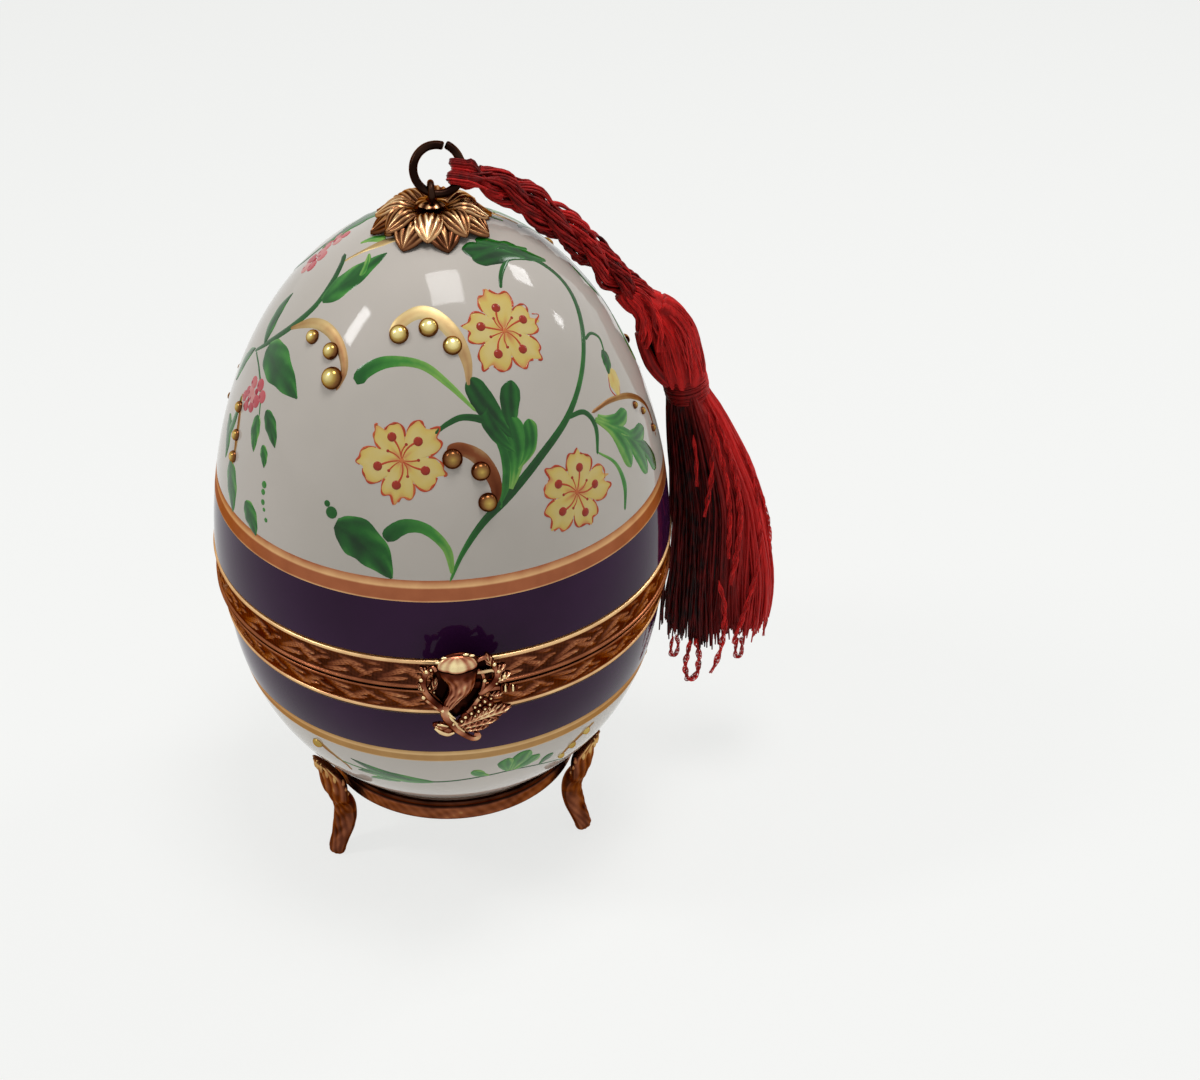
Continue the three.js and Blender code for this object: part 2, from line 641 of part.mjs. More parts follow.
// Rosette of petals round a hub that the post passes through
function rosette(name, reach, width, layer, turn) {
  const top = (r) => seam + lidRise(r) + layer + PETAL_THICKNESS;
  const bottom = (r) => seam + lidRise(r) + layer;
  const hub = turned(closed([
    [POST_HOLE_RADIUS, bottom(POST_HOLE_RADIUS)], [HUB_RADIUS, bottom(HUB_RADIUS)],
    [HUB_RADIUS, top(HUB_RADIUS)], [POST_HOLE_RADIUS, top(POST_HOLE_RADIUS)],
  ]), MEDIUM_ROUND);
  const petals = Array.from({ length: PETAL_COUNT }, (_, i) => {
    const angle = (2 * Math.PI * (i + turn)) / PETAL_COUNT;
    return petal(reach, width, layer).rotateZ(angle);
  });
  return piece(name, geometryOf(joined([hub, ...petals])), gilt);
}

// Post of the finial: eye, flange, and a shank through the petals and the lid
function finialPost(shankEnd) {
  const shank = turned([
    [0, shankEnd], [POST_RADIUS, shankEnd], [POST_RADIUS, postFlangeTop - POST_FLANGE],
    [POST_FLANGE_RADIUS, postFlangeTop - POST_FLANGE], [POST_FLANGE_RADIUS, postFlangeTop],
    [0, postFlangeTop],
  ], SMALL_ROUND);
  const eye = new THREE.TorusGeometry(EYE_RADIUS, EYE_WIRE, THIN_SIDES, MEDIUM_ROUND).rotateY(Math.PI / 2);
  return piece('finial_post', geometryOf(joined([shank, eye.translate(0, 0, eyeHeight)])), darkBronze);
}

function washer(top) {
  const outline = [
    [POST_HOLE_RADIUS, top - WASHER_THICKNESS], [WASHER_RADIUS, top - WASHER_THICKNESS],
    [WASHER_RADIUS, top], [POST_HOLE_RADIUS, top],
  ];
  return piece('finial_washer', turned(closed(outline), MEDIUM_ROUND), brass);
}

function nut(top) {
  const body = new THREE.CylinderGeometry(NUT_RADIUS, NUT_RADIUS, NUT_HEIGHT, 6).rotateX(Math.PI / 2);
  const bore = new THREE.CylinderGeometry(POST_HOLE_RADIUS, POST_HOLE_RADIUS, NUT_HEIGHT * 2, SMALL_ROUND);
  const whole = solid(body).subtract(solid(bore.rotateX(Math.PI / 2)));
  const mesh = piece('finial_nut', geometryOf(whole), brass);
  mesh.position.z = top - NUT_HEIGHT / 2;
  return mesh;
}

function finial() {
  const group = new THREE.Group();
  const washerTop = seam + lidRise(WASHER_RADIUS, SHELL_WALL) - GAP;
  const nutTop = washerTop - WASHER_THICKNESS - GAP;
  const innerLayer = LAYER_GAP + PETAL_THICKNESS + LAYER_GAP;
  group.add(
    rosette('rosette_outer_petals', OUTER_PETAL_REACH, OUTER_PETAL_WIDTH, LAYER_GAP, 0.25),
    rosette('rosette_inner_petals', INNER_PETAL_REACH, INNER_PETAL_WIDTH, innerLayer, 0.75),
    finialPost(nutTop - NUT_HEIGHT - THREAD_END),
    washer(washerTop),
    nut(nutTop),
  );
  return group;
}

// Arc of the split ring, in its own plane, from one end of the split to the other
class SplitRing extends THREE.Curve {
  getPoint(t, target = new THREE.Vector3()) {
    const angle = radians(90 + JUMP_RING_SPLIT / 2 + t * (360 - JUMP_RING_SPLIT));
    return target.set(JUMP_RING_RADIUS * Math.cos(angle), 0, JUMP_RING_RADIUS * Math.sin(angle));
  }
}

// The ring hangs on the eye at its lowest point, slips towards the tassel and leans back
function jumpRing() {
  const slip = new THREE.Group();
  const wire = tube(new SplitRing(), JUMP_RING_WIRE, THIN_SIDES, JUMP_RING_STEPS);
  const ring = piece('jump_ring', geometryOf(solid(wire)), darkBronze);
  ring.position.z = JUMP_RING_RADIUS;
  slip.rotation.y = radians(JUMP_RING_SLIP);
  slip.add(ring);
  const lean = new THREE.Group();
  lean.rotation.x = radians(-JUMP_RING_LEAN);
  lean.position.z = eyeHeight;
  lean.add(slip);
  return lean;
}

const cordRoute = smooth(CORD_ROUTE);

function tasselCord() {
  const spacing = CORD_DIAMETER * 2;
  const steps = Math.ceil((cordRoute.getLength() * 2) / spacing);
  const rope = tube(cordRoute, CORD_DIAMETER / 2, THIN_SIDES, steps);
  return piece('tassel_cord', geometryOf(solid(rope)), silk);
}

// Centre of the tassel's round head, in line with the end of the cord
function headCentre() {
  const end = cordRoute.getPoint(1);
  return end.addScaledVector(cordRoute.getTangent(1), GAP + HEAD_RADIUS);
}

function tasselHead() {
  const lowest = Math.asin(NECK_RADIUS / HEAD_RADIUS) - Math.PI / 2;
  const dome = Array.from({ length: DOME_STEPS + 1 }, (_, i) => {
    const angle = THREE.MathUtils.lerp(lowest * 0.6, Math.PI / 2, i / DOME_STEPS);
    return [HEAD_RADIUS * Math.cos(angle), HEAD_RADIUS * Math.sin(angle)];
  });
  const outline = [[0, -HEAD_LENGTH], [NECK_RADIUS, -HEAD_LENGTH], ...dome.slice(0, -1), [0, HEAD_RADIUS]];
  return piece('tassel_head', turned(outline, SMALL_ROUND), silk);
}

function tasselBinding() {
  const top = -HEAD_LENGTH - GAP;
  const inner = NECK_RADIUS + GAP;
  const outer = inner + BINDING_THICKNESS;
  const outline = [[inner, top - BINDING_HEIGHT], [outer, top - BINDING_HEIGHT], [outer, top], [inner, top]];
  return piece('tassel_binding', turned(closed(outline), SMALL_ROUND), silk);
}

// Skirt of threads: a round neck inside the binding, then a brush that hangs beside the bezels
function tasselSkirt() {
  const centre = headCentre();
  const tilt = radians(HEAD_TILT);
  const down = new THREE.Vector3(Math.sin(tilt), 0, -Math.cos(tilt));
  const across = new THREE.Vector3(Math.cos(tilt), 0, Math.sin(tilt));
  const neckTop = HEAD_LENGTH + GAP;
  const side = BEZEL_RADIUS + TASSEL_CLEAR - centre.x;
  const rings = [neckTop, neckTop + NECK_LENGTH].map((drop) => ellipse(
    down.clone().multiplyScalar(drop), across.clone().multiplyScalar(NECK_RADIUS),
    new THREE.Vector3(0, NECK_RADIUS, 0), SMALL_ROUND,
  ));
  const shoulder = rings[1].reduce((lowest, p) => Math.min(lowest, p.z), 0);
  for (const share of [0.05, 0.12, 0.22, 0.36, 0.55, 0.78, 0.94, 1]) {
    const spread = 1 - (1 - share) ** SKIRT_FULLNESS;
    const fullness = share < 1 ? spread : spread * SKIRT_HEM;
    const half = THREE.MathUtils.lerp(NECK_RADIUS, SKIRT_HALF_WIDTH, fullness);
    const depth = THREE.MathUtils.lerp(NECK_RADIUS, SKIRT_HALF_DEPTH, fullness);
    const centreLine = side + THREE.MathUtils.lerp(NECK_RADIUS, SKIRT_HALF_WIDTH, spread);
    const middle = new THREE.Vector3(centreLine, 0, shoulder - SKIRT_LENGTH * share);
    rings.push(ellipse(middle, new THREE.Vector3(half, 0, 0), new THREE.Vector3(0, depth, 0), SMALL_ROUND));
  }
  return piece('tassel_skirt', geometryOf(solid(lofted(rings.reverse()))), silk);
}

// The head and its binding share the tilt of the neck, and the skirt hangs from them
function tassel() {
  const hanging = new THREE.Group();
  hanging.position.copy(headCentre());
  const tilted = new THREE.Group();
  tilted.rotation.y = radians(-HEAD_TILT);
  tilted.add(tasselHead(), tasselBinding());
  hanging.add(tilted, tasselSkirt());
  return hanging;
}

const egg = new THREE.Group();
egg.add(
  standRing(), ...legs(),
  lowerShell(), upperShell(),
  lowerBezel(), upperBezel(),
  hinge(), clasp(), finial(),
  jumpRing(), tasselCord(), tassel(),
);

export default egg;
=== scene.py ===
import math

import bmesh
import bpy
import numpy as np
from mathutils import Matrix, Quaternion, Vector


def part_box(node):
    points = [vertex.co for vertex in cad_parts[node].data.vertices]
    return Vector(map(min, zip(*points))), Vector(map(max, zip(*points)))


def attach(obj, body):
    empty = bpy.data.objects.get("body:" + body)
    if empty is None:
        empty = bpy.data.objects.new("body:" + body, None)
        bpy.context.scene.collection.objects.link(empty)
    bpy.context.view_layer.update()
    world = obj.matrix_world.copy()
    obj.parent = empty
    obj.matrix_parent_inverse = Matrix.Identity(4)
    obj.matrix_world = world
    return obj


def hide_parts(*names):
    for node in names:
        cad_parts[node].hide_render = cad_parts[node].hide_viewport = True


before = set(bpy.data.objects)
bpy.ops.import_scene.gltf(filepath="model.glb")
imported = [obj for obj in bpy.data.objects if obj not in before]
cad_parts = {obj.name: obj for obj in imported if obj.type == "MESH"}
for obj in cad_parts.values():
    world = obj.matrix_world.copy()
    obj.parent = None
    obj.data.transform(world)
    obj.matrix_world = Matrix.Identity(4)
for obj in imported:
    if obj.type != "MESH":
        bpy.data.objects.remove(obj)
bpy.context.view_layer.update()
MM = 0.001
random = np.random.default_rng(11)

# Camera, matched to the photograph
CAMERA_PLACE = (-15.18, -217.02, 197.99)
CAMERA_YAW = 9.438
CAMERA_PITCH = 35.271
CAMERA_ROLL = 0.896
CAMERA_LENS = 60
CAMERA_SENSOR = 36


def add_camera():
    yaw, pitch, roll = (math.radians(v) for v in (CAMERA_YAW, CAMERA_PITCH, CAMERA_ROLL))
    level = math.cos(pitch)
    forward = Vector((math.sin(yaw) * level, math.cos(yaw) * level, -math.sin(pitch)))
    right = forward.cross(Vector((0, 0, 1))).normalized()
    up = right.cross(forward)
    across = right * math.cos(roll) + up * math.sin(roll)
    upward = up * math.cos(roll) - right * math.sin(roll)
    data = bpy.data.cameras.new("camera")
    data.lens = CAMERA_LENS
    data.sensor_width = CAMERA_SENSOR
    data.clip_start = 0.01
    camera = bpy.data.objects.new("camera", data)
    bpy.context.scene.collection.objects.link(camera)
    turn = Matrix((across, upward, -forward)).transposed().to_4x4()
    camera.matrix_world = Matrix.Translation(Vector(CAMERA_PLACE) * MM) @ turn
    bpy.context.scene.camera = camera


add_camera()


# Curves and surfaces as arrays of points

def unit(vectors):
    return vectors / np.maximum(np.linalg.norm(vectors, axis=-1, keepdims=True), 1e-12)


def circle(count):
    """Evenly spaced angles of a full turn."""
    return np.linspace(0, 2 * math.pi, count, endpoint=False)


def turned(points, angle):
    """Points turned about Z."""
    cosine, sine = math.cos(angle), math.sin(angle)
    x, y = points[:, 0], points[:, 1]
    return np.stack([x * cosine - y * sine, x * sine + y * cosine, points[:, 2]], -1)


def spread_over(values, count):
    """Values spread evenly over a count of steps."""
    return np.interp(np.linspace(0, 1, count), np.linspace(0, 1, len(values)), values)


def distances(line):
    """Distance of each point from the line's start, along the line."""
    return np.concatenate([[0], np.cumsum(np.linalg.norm(np.diff(line, axis=0), axis=1))])


def smooth(points, count):
    """Evenly spaced points along a smooth curve through the given ones."""
    p = np.asarray(points, float)
    p = np.vstack([2 * p[0] - p[1], p, 2 * p[-1] - p[-2]])
    t = np.linspace(0, 1, 24, endpoint=False)[:, None]
    pieces = []
    for a, b, c, d in zip(p, p[1:], p[2:], p[3:]):
        pieces.append(0.5 * (2 * b + (c - a) * t + (2 * a - 5 * b + 4 * c - d) * t ** 2
                             + (3 * b - a - 3 * c + d) * t ** 3))
    fine = np.vstack([*pieces, p[-2:-1]])
    along = distances(fine)
    wanted = np.linspace(0, along[-1], count)
    return np.stack([np.interp(wanted, along, fine[:, i]) for i in range(fine.shape[1])], -1)


def grid_faces(rows, columns, wrap_rows=False, wrap_columns=False):
    faces = []
    for i in range(rows if wrap_rows else rows - 1):
        for j in range(columns if wrap_columns else columns - 1):
            here, above = i * columns, ((i + 1) % rows) * columns
            beside = (j + 1) % columns
            faces.append((here + j, here + beside, above + beside, above + j))
    return faces


def loft(rings):
    """Closed body through rings of points, each ring with as many points as the others."""
    rings = np.asarray(rings, float)
    count, sides = rings.shape[:2]
    points = np.concatenate([rings.reshape(-1, 3), rings[:1].mean(1), rings[-1:].mean(1)])
    faces = grid_faces(count, sides, wrap_columns=True)
    first, last = count * sides, (count - 1) * sides
    faces += [(first, (j + 1) % sides, j) for j in range(sides)]
    faces += [(first + 1, last + j, last + (j + 1) % sides) for j in range(sides)]
    return points, faces


def frames(line):
    """Two directions square to a line at each of its points, carried along without twist."""
    tangents = unit(np.gradient(line, axis=0))
    start = np.array([0.0, 0.0, 1.0]) if abs(tangents[0, 2]) < 0.9 else np.array([1.0, 0.0, 0.0])
    normal = unit(np.cross(tangents[0], start))
    normals = [normal]
    for tangent in tangents[1:]:
        normal = unit(normal - tangent * np.dot(normal, tangent))
        normals.append(normal)
    normals = np.array(normals)
    return normals, np.cross(tangents, normals)


def tube(line, radii, sides=8):
    """Closed tube along a line, with one radius or one for each point."""
    line = np.asarray(line, float)
    normals, others = frames(line)
    radii = np.broadcast_to(np.asarray(radii, float), len(line))[:, None, None]
    angles = circle(sides)[None, :, None]
    outward = np.cos(angles) * normals[:, None] + np.sin(angles) * others[:, None]
    return loft(line[:, None] + radii * outward)


def ball(centre, radius, across=16, squash=(1, 1, 1)):
    heights = np.linspace(-math.pi / 2, math.pi / 2, across // 2 + 1)[1:-1]
    angles = circle(across)
    rings = [[(math.cos(h) * math.cos(a), math.cos(h) * math.sin(a), math.sin(h)) for a in angles]
             for h in heights]
    points, faces = loft(rings)
    points[-2:] = (0, 0, -1), (0, 0, 1)
    return points * np.asarray(squash) * radius + np.asarray(centre), faces


def lathe(outline, segments=192, relief=None):
    """Body turned about Z from a closed outline of (radius, height) points."""
    outline = np.asarray(outline, float)
    angles = circle(segments)[None, :]
    radii = outline[:, :1] + (0 if relief is None else relief)
    points = np.stack([radii * np.cos(angles), radii * np.sin(angles),
                       np.broadcast_to(outline[:, 1:], (len(outline), segments))], -1)
    return points.reshape(-1, 3), grid_faces(len(outline), segments, True, True)


def round_bar(radius, bore, low, high, centre, chamfer=0.12, segments=40):
    """Barrel along X with a bore and chamfered ends, about a centre given as (y, z)."""
    outline = [(bore, low), (radius - chamfer, low), (radius, low + chamfer),
               (radius, high - chamfer), (radius - chamfer, high), (bore, high)]
    points, faces = lathe(outline, segments)
    return points[:, [2, 0, 1]] + (0, *centre), faces


def block(low, high, chamfer=0.12):
    """Box with chamfered upright edges."""
    (x0, y0, z0), (x1, y1, z1) = low, high
    c = chamfer
    outer = [(x0 + c, y0), (x1 - c, y0), (x1, y0 + c), (x1, y1 - c),
             (x1 - c, y1), (x0 + c, y1), (x0, y1 - c), (x0, y0 + c)]
    middle = np.array([(x0 + x1) / 2, (y0 + y1) / 2])
    inner = [tuple(middle + (np.array(p) - middle) * (1 - c / max(x1 - x0, y1 - y0))) for p in outer]
    rings = [[(*p, z) for p in ring] for ring, z in
             ((inner, z0), (outer, z0 + c), (outer, z1 - c), (inner, z1))]
    return loft(rings)


class Shape:
    """Closed bodies gathered into one mesh, with a shade at each point, about 0 to 1, for its finish."""

    def __init__(self):
        self.points, self.faces, self.shades, self.slots = [], [], [], []
        self.count = 0

    def add(self, body, shade=0.5, slot=0):
        points, faces = body
        points = np.asarray(points, float).reshape(-1, 3)
        self.points.append(points)
        self.faces += [tuple(i + self.count for i in face) for face in faces]
        shade = np.asarray(shade, float).ravel()
        if len(shade) not in (1, len(points)):
            shade = np.concatenate([shade, np.full(len(points) - len(shade), shade.mean())])
        self.shades.append(np.broadcast_to(shade, len(points)))
        self.slots += [slot] * len(faces) if np.isscalar(slot) else list(slot)
        self.count += len(points)
        return self

    def build(self, name, body, materials, slot=None, sharp=38, replaces=()):
        data = bpy.data.meshes.new(name)
        data.from_pydata((np.concatenate(self.points) * MM).tolist(), [], self.faces)
        for material in materials:
            data.materials.append(material)
        data.polygons.foreach_set("material_index", self.slots)
        shade = data.attributes.new("shade", "FLOAT", "POINT")
        shade.data.foreach_set("value", np.concatenate(self.shades).astype(np.float32))
        bm = bmesh.new()
        bm.from_mesh(data)
        bmesh.ops.remove_doubles(bm, verts=bm.verts, dist=1e-7)
        bmesh.ops.recalc_face_normals(bm, faces=bm.faces)
        bm.to_mesh(data)
        bm.free()
        data.shade_smooth()
        data.set_sharp_from_angle(angle=math.radians(sharp))
        item = bpy.data.objects.new(name, data)
        bpy.context.scene.collection.objects.link(item)
        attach(item, body)
        if replaces:
            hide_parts(*replaces)
        return item


# The shells' curves, which the painting follows too

class Shell:
    """Outer face of a shell: a swelled curve turned about Z, upwards or downwards from the seam."""

    def __init__(self, full, depth, swell, roundness, seam, side, heart):
        self.full, self.depth, self.swell, self.roundness = full, depth, swell, roundness
        self.seam, self.side, self.heart = seam, side, heart

    def radius(self, height, inset=0.0):
        away = np.clip((np.asarray(height, float) - self.seam) * self.side / (self.depth - inset), 0, 1)
        return (self.full - inset) * (1 - away ** self.swell) ** self.roundness

    def height(self, radius, inset=0.0):
        share = np.clip(np.asarray(radius, float) / (self.full - inset), 0, 1)
        away = (self.depth - inset) * (1 - share ** (1 / self.roundness)) ** (1 / self.swell)
        return self.seam + self.side * away

    def project(self, points):
        """Points carried onto the face, along lines from the shell's heart."""
        heart = np.array([0, 0, self.heart])
        rays = np.asarray(points, float) - heart
        low, high = np.full(rays.shape[:-1], 0.3), np.full(rays.shape[:-1], 3.0)
        for _ in range(34):
            middle = (low + high) / 2
            p = heart + rays * middle[..., None]
            outside = self.field(p) > 0
            high, low = np.where(outside, middle, high), np.where(outside, low, middle)
        return heart + rays * ((low + high) / 2)[..., None]

    def field(self, p):
        """Below 0 inside the shell's outer face and above 0 outside it."""
        radial = np.hypot(p[..., 0], p[..., 1]) / self.full
        away = np.maximum((p[..., 2] - self.seam) * self.side, 0) / self.depth
        return radial ** (1 / self.roundness) + away ** self.swell - 1

    def normal(self, p):
        radial = np.maximum(np.hypot(p[..., 0], p[..., 1]), 1e-6)
        steep = (radial / self.full) ** (1 / self.roundness - 1) / self.roundness / self.full
        away = np.maximum((p[..., 2] - self.seam) * self.side, 0) / self.depth
        rise = self.side * self.swell / self.depth * away ** (self.swell - 1)
        return unit(np.stack([p[..., 0] / radial * steep, p[..., 1] / radial * steep, rise], -1))

    def at(self, azimuth, height):
        """Point of the face at an azimuth, in degrees from -Y towards +X, and a height."""
        angle, radius = np.radians(azimuth), self.radius(height)
        return np.stack([radius * np.sin(angle), -radius * np.cos(angle), np.asarray(height, float)], -1)


def corners(node):
    """Lowest and highest corner of a solid, in millimetres."""
    return [np.array(place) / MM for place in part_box(node)[:2]]


GAP = 0.3
WALL = 2.4
RIM_WALL = 1.5
REBATE = 0.8
(_, _, UPPER_EDGE), (BEZEL, _, UPPER_RIM) = corners("upper_bezel")
(_, _, LOWER_RIM), (_, _, LOWER_EDGE) = corners("lower_bezel")
(_, _, FOOT), _ = corners("lower_shell")
(_, _, RING_LOW), (_, _, RING_TOP) = corners("stand_ring")
SEAM = (UPPER_EDGE + LOWER_EDGE) / 2
LID_FULL, LID_RISE = BEZEL - 0.06, 48.4
BASE_FULL, BASE_DEPTH = BEZEL - 0.94, 36.2
LOWER_BEZEL = BASE_FULL + 0.15
CROWN = SEAM + LID_RISE
EYE_HEIGHT = corners("finial_post")[1][2] - 1.6
lid = Shell(LID_FULL, LID_RISE, 2.08, 0.51, SEAM, 1, 62)
base = Shell(BASE_FULL, BASE_DEPTH, 2.36, 0.56, SEAM, -1, 34)


# Materials

TARNISH_TINT = (0.78, 0.46, 0.30, 1)


def shader_of(material):
    return material.node_tree.nodes["Principled BSDF"]


def new_material(name, settings):
    """Material with the named inputs of its shader set."""
    material = bpy.data.materials.new(name)
    material.use_nodes = True
    for key, value in settings.items():
        shader_of(material).inputs[key].default_value = value
    return material


def add_node(owner, kind, settings=(), **links):
    """A node with its settings, its numbered or named inputs linked to sockets or set to values."""
    node = owner.node_tree.nodes.new(kind)
    for key, value in dict(settings).items():
        setattr(node, key, value)
    for key, value in links.items():
        socket = node.inputs[int(key[1:])] if key[0] == "i" and key[1:].isdigit() else node.inputs[key]
        if isinstance(value, bpy.types.NodeSocket):
            owner.node_tree.links.new(value, socket)
        else:
            socket.default_value = value
    return node


def noise(material, scale, detail=3.0, stretch=(1, 1, 1)):
    place = add_node(material, "ShaderNodeTexCoord").outputs["Object"]
    mapped = add_node(material, "ShaderNodeMapping", i0=place, Scale=stretch).outputs[0]
    return add_node(material, "ShaderNodeTexNoise", Vector=mapped, Scale=scale, Detail=detail).outputs[0]


def mixed(material, first, second, share, operation="ADD"):
    """first combined with second times share."""
    scaled = add_node(material, "ShaderNodeMath", {"operation": "MULTIPLY"}, i0=second, i1=share)
    return add_node(material, "ShaderNodeMath", {"operation": operation},
                    i0=first, i1=scaled.outputs[0]).outputs[0]


def varied(material, pattern, share):
    """The mesh's shade with a pattern laid over it, no lighter or darker on the whole."""
    shade = add_node(material, "ShaderNodeAttribute", {"attribute_name": "shade"}).outputs["Fac"]
    return mixed(material, mixed(material, shade, pattern, share), 1.0, share / 2, "SUBTRACT")


def ramp(material, factor, stops):
    node = add_node(material, "ShaderNodeValToRGB", i0=factor)
    elements = node.color_ramp.elements
    for place, color in stops[1:-1]:
        elements.new(place)
    for element, (place, color) in zip(elements, stops):
        element.position = place
        element.color = (*color, 1)
    return node.outputs[0]


def color_by(material, factor, stops):
    material.node_tree.links.new(ramp(material, factor, stops), shader_of(material).inputs["Base Color"])


def ranged(owner, value, low, high):
    """A value from 0 to 1 carried over to the range from low to high."""
    return add_node(owner, "ShaderNodeMapRange",
                    **{"Value": value, "To Min": low, "To Max": high}).outputs[0]


def roughness_by(material, factor, low, high):
    rough = ranged(material, factor, low, high)
    material.node_tree.links.new(rough, shader_of(material).inputs["Roughness"])


def bumped(material, height, distance, strength=1.0):
    bump = add_node(material, "ShaderNodeBump", Height=height, Distance=distance, Strength=strength)
    material.node_tree.links.new(bump.outputs[0], shader_of(material).inputs["Normal"])


def glaze(name, dark, light, roughness, gloss):
    """Fired glaze: faint clouding, and a surface that ripples very slightly."""
    material = new_material(name, {"Roughness": roughness, "Specular IOR Level": gloss})
    color_by(material, noise(material, 60), [(0.3, dark), (0.7, light)])
    roughness_by(material, noise(material, 420), roughness * 0.8, roughness * 1.5)
    bumped(material, noise(material, 130, 1), 0.00005, 0.35)
    return material


def enamel(name, stops, streaks=0.35):
    """Painted enamel: its colour pools and thins along the brush stroke."""
    material = new_material(name, {"Roughness": 0.14, "Specular IOR Level": 0.28})
    color_by(material, varied(material, noise(material, 700, 3), streaks), stops)
    bumped(material, noise(material, 1500, 2), 0.00003, 0.4)
    return material


def metal(name, stops, roughness, wear=0.4, grain=900, depth=0.00003):
    """Cast and gilded metal: tarnish and painted shade in its hollows, from the mesh's shade, warm at
    low angles too, and a fine uneven skin.
    """
    material = new_material(name, {
        "Roughness": roughness, "Metallic": 1.0, "Specular Tint": TARNISH_TINT})
    color_by(material, varied(material, noise(material, 350, 4), wear), stops)
    roughness_by(material, noise(material, 800, 3), roughness * 0.75, roughness * 1.35)
    bumped(material, noise(material, grain, 4), depth, 0.6)
    return material


def silk(name, low, high):
    """Silk yarn: fine filaments in lighter and darker streaks, with a soft sheen."""
    material = new_material(name, {
        "Roughness": 0.42, "Specular IOR Level": 0.14,
        "Sheen Weight": 0.12, "Sheen Roughness": 0.35, "Sheen Tint": (0.9, 0.05, 0.05, 1),
    })
    middle = tuple((a + b) / 2 for a, b in zip(low, high))
    color_by(material, varied(material, noise(material, 1800, 4, (1, 1, 0.25)), 0.5),
             [(0.0, low), (0.55, middle), (1, high)])
    bumped(material, noise(material, 3500, 3, (1, 1, 0.2)), 0.00006, 0.8)
    return material


white_glaze = glaze("white_glaze", (0.60, 0.550, 0.490), (0.67, 0.61, 0.55), 0.06, 0.26)
purple_glaze = glaze("purple_glaze", (0.030, 0.005, 0.034), (0.048, 0.010, 0.056), 0.06, 0.12)
fired_gold = metal("fired_gold", [
    (0.1, (0.20, 0.055, 0.026)), (0.5, (0.35, 0.115, 0.052)), (1, (0.70, 0.42, 0.20))], 0.40)
lower_gold = metal("lower_gold", [
    (0.1, (0.26, 0.14, 0.06)), (0.5, (0.42, 0.26, 0.115)), (1, (0.66, 0.46, 0.24))], 0.40)
scroll_gold = metal("scroll_gold", [
    (0.0, (0.075, 0.018, 0.008)), (0.3, (0.17, 0.052, 0.022)),
    (0.6, (0.38, 0.25, 0.115)), (1, (0.60, 0.50, 0.25))], 0.42)
raised_gold = metal("raised_gold", [
    (0.0, (0.085, 0.026, 0.010)), (0.30, (0.19, 0.085, 0.028)),
    (0.6, (0.40, 0.27, 0.070)), (1, (0.84, 0.74, 0.34))], 0.20)
bezel_gilt = metal("bezel_gilt", [
    (0.05, (0.012, 0.003, 0.002)), (0.40, (0.125, 0.034, 0.016)),
    (0.7, (0.36, 0.130, 0.058)), (1, (0.76, 0.50, 0.25))], 0.27)
sprig_gilt = metal("sprig_gilt", [
    (0.0, (0.006, 0.0015, 0.001)), (0.30, (0.10, 0.020, 0.010)),
    (0.58, (0.40, 0.150, 0.082)), (1, (0.86, 0.70, 0.38))], 0.25, wear=0.85, grain=700, depth=0.00007)
stand_gilt = metal("stand_gilt", [
    (0.05, (0.014, 0.005, 0.003)), (0.42, (0.125, 0.036, 0.018)),
    (0.70, (0.27, 0.088, 0.040)), (1, (0.70, 0.48, 0.19))], 0.38, wear=0.6)
rosette_gilt = metal("rosette_gilt", [
    (0.05, (0.022, 0.007, 0.003)), (0.38, (0.14, 0.052, 0.023)),
    (0.70, (0.42, 0.225, 0.10)), (1, (0.84, 0.66, 0.40))], 0.24)
dark_bronze = metal("dark_bronze", [
    (0.1, (0.010, 0.004, 0.003)), (0.6, (0.034, 0.016, 0.010)), (1, (0.15, 0.085, 0.048))], 0.28)
brass = metal("brass_fastening", [
    (0.1, (0.30, 0.20, 0.08)), (0.6, (0.58, 0.43, 0.18)), (1, (0.75, 0.6, 0.3))], 0.33)
green = enamel("green_enamel", [
    (0.0, (0.003, 0.040, 0.006)), (0.4, (0.010, 0.13, 0.014)),
    (0.72, (0.05, 0.28, 0.035)), (1, (0.24, 0.48, 0.09))])
yellow = enamel("yellow_enamel", [
    (0.0, (0.66, 0.20, 0.06)), (0.25, (0.72, 0.36, 0.11)),
    (0.5, (0.76, 0.56, 0.14)), (1, (0.78, 0.62, 0.24))], streaks=0.30)
red_line = enamel("red_line", [
    (0.0, (0.38, 0.025, 0.008)), (0.6, (0.58, 0.07, 0.018)), (1, (0.75, 0.26, 0.07))])
pink = enamel("pink_enamel", [
    (0.0, (0.46, 0.015, 0.04)), (0.5, (0.64, 0.10, 0.12)), (1, (0.76, 0.38, 0.34))])
red_silk = silk("red_silk", (0.006, 0.0003, 0.0004), (0.95, 0.032, 0.030))
# Near-black silk that paints the shade inside the tassel
shadow_silk = silk("shadow_silk", (0.005, 0.0002, 0.0002), (0.05, 0.001, 0.002))

# Tassel: its cord comes first, then the loop on the ring, the head, the binding and the skirt
CORD_DIAMETER = 3.8
CORD_ROUTE = [
    (5.7, 1.7, 95.7), (8.6, 2.2, 94.0), (12.2, 2.7, 91.4), (16.0, 3.2, 88.0),
    (19.6, 3.6, 84.0), (22.8, 3.9, 80.2), (25.5, 4.0, 77.3), (27.9, 4.0, 74.85),
]
RING_RADIUS = 2.9
RING_WIRE = 0.5
RING_LEAN = 32
RING_SLIP = 20
RING_SPLIT = 5
HEAD_TILT = 12
HEAD_LENGTH = 6.4
HEAD_RADIUS = 3.5
BINDING_RADIUS = 2.85
BINDING_HEIGHT = 3.0
BINDING_SHIFT = np.array([0.25, 0, 0])
SKIRT_LENGTH = 43
SKIRT_TOP = 64.2
SKIRT_SIDE = BEZEL + 0.4
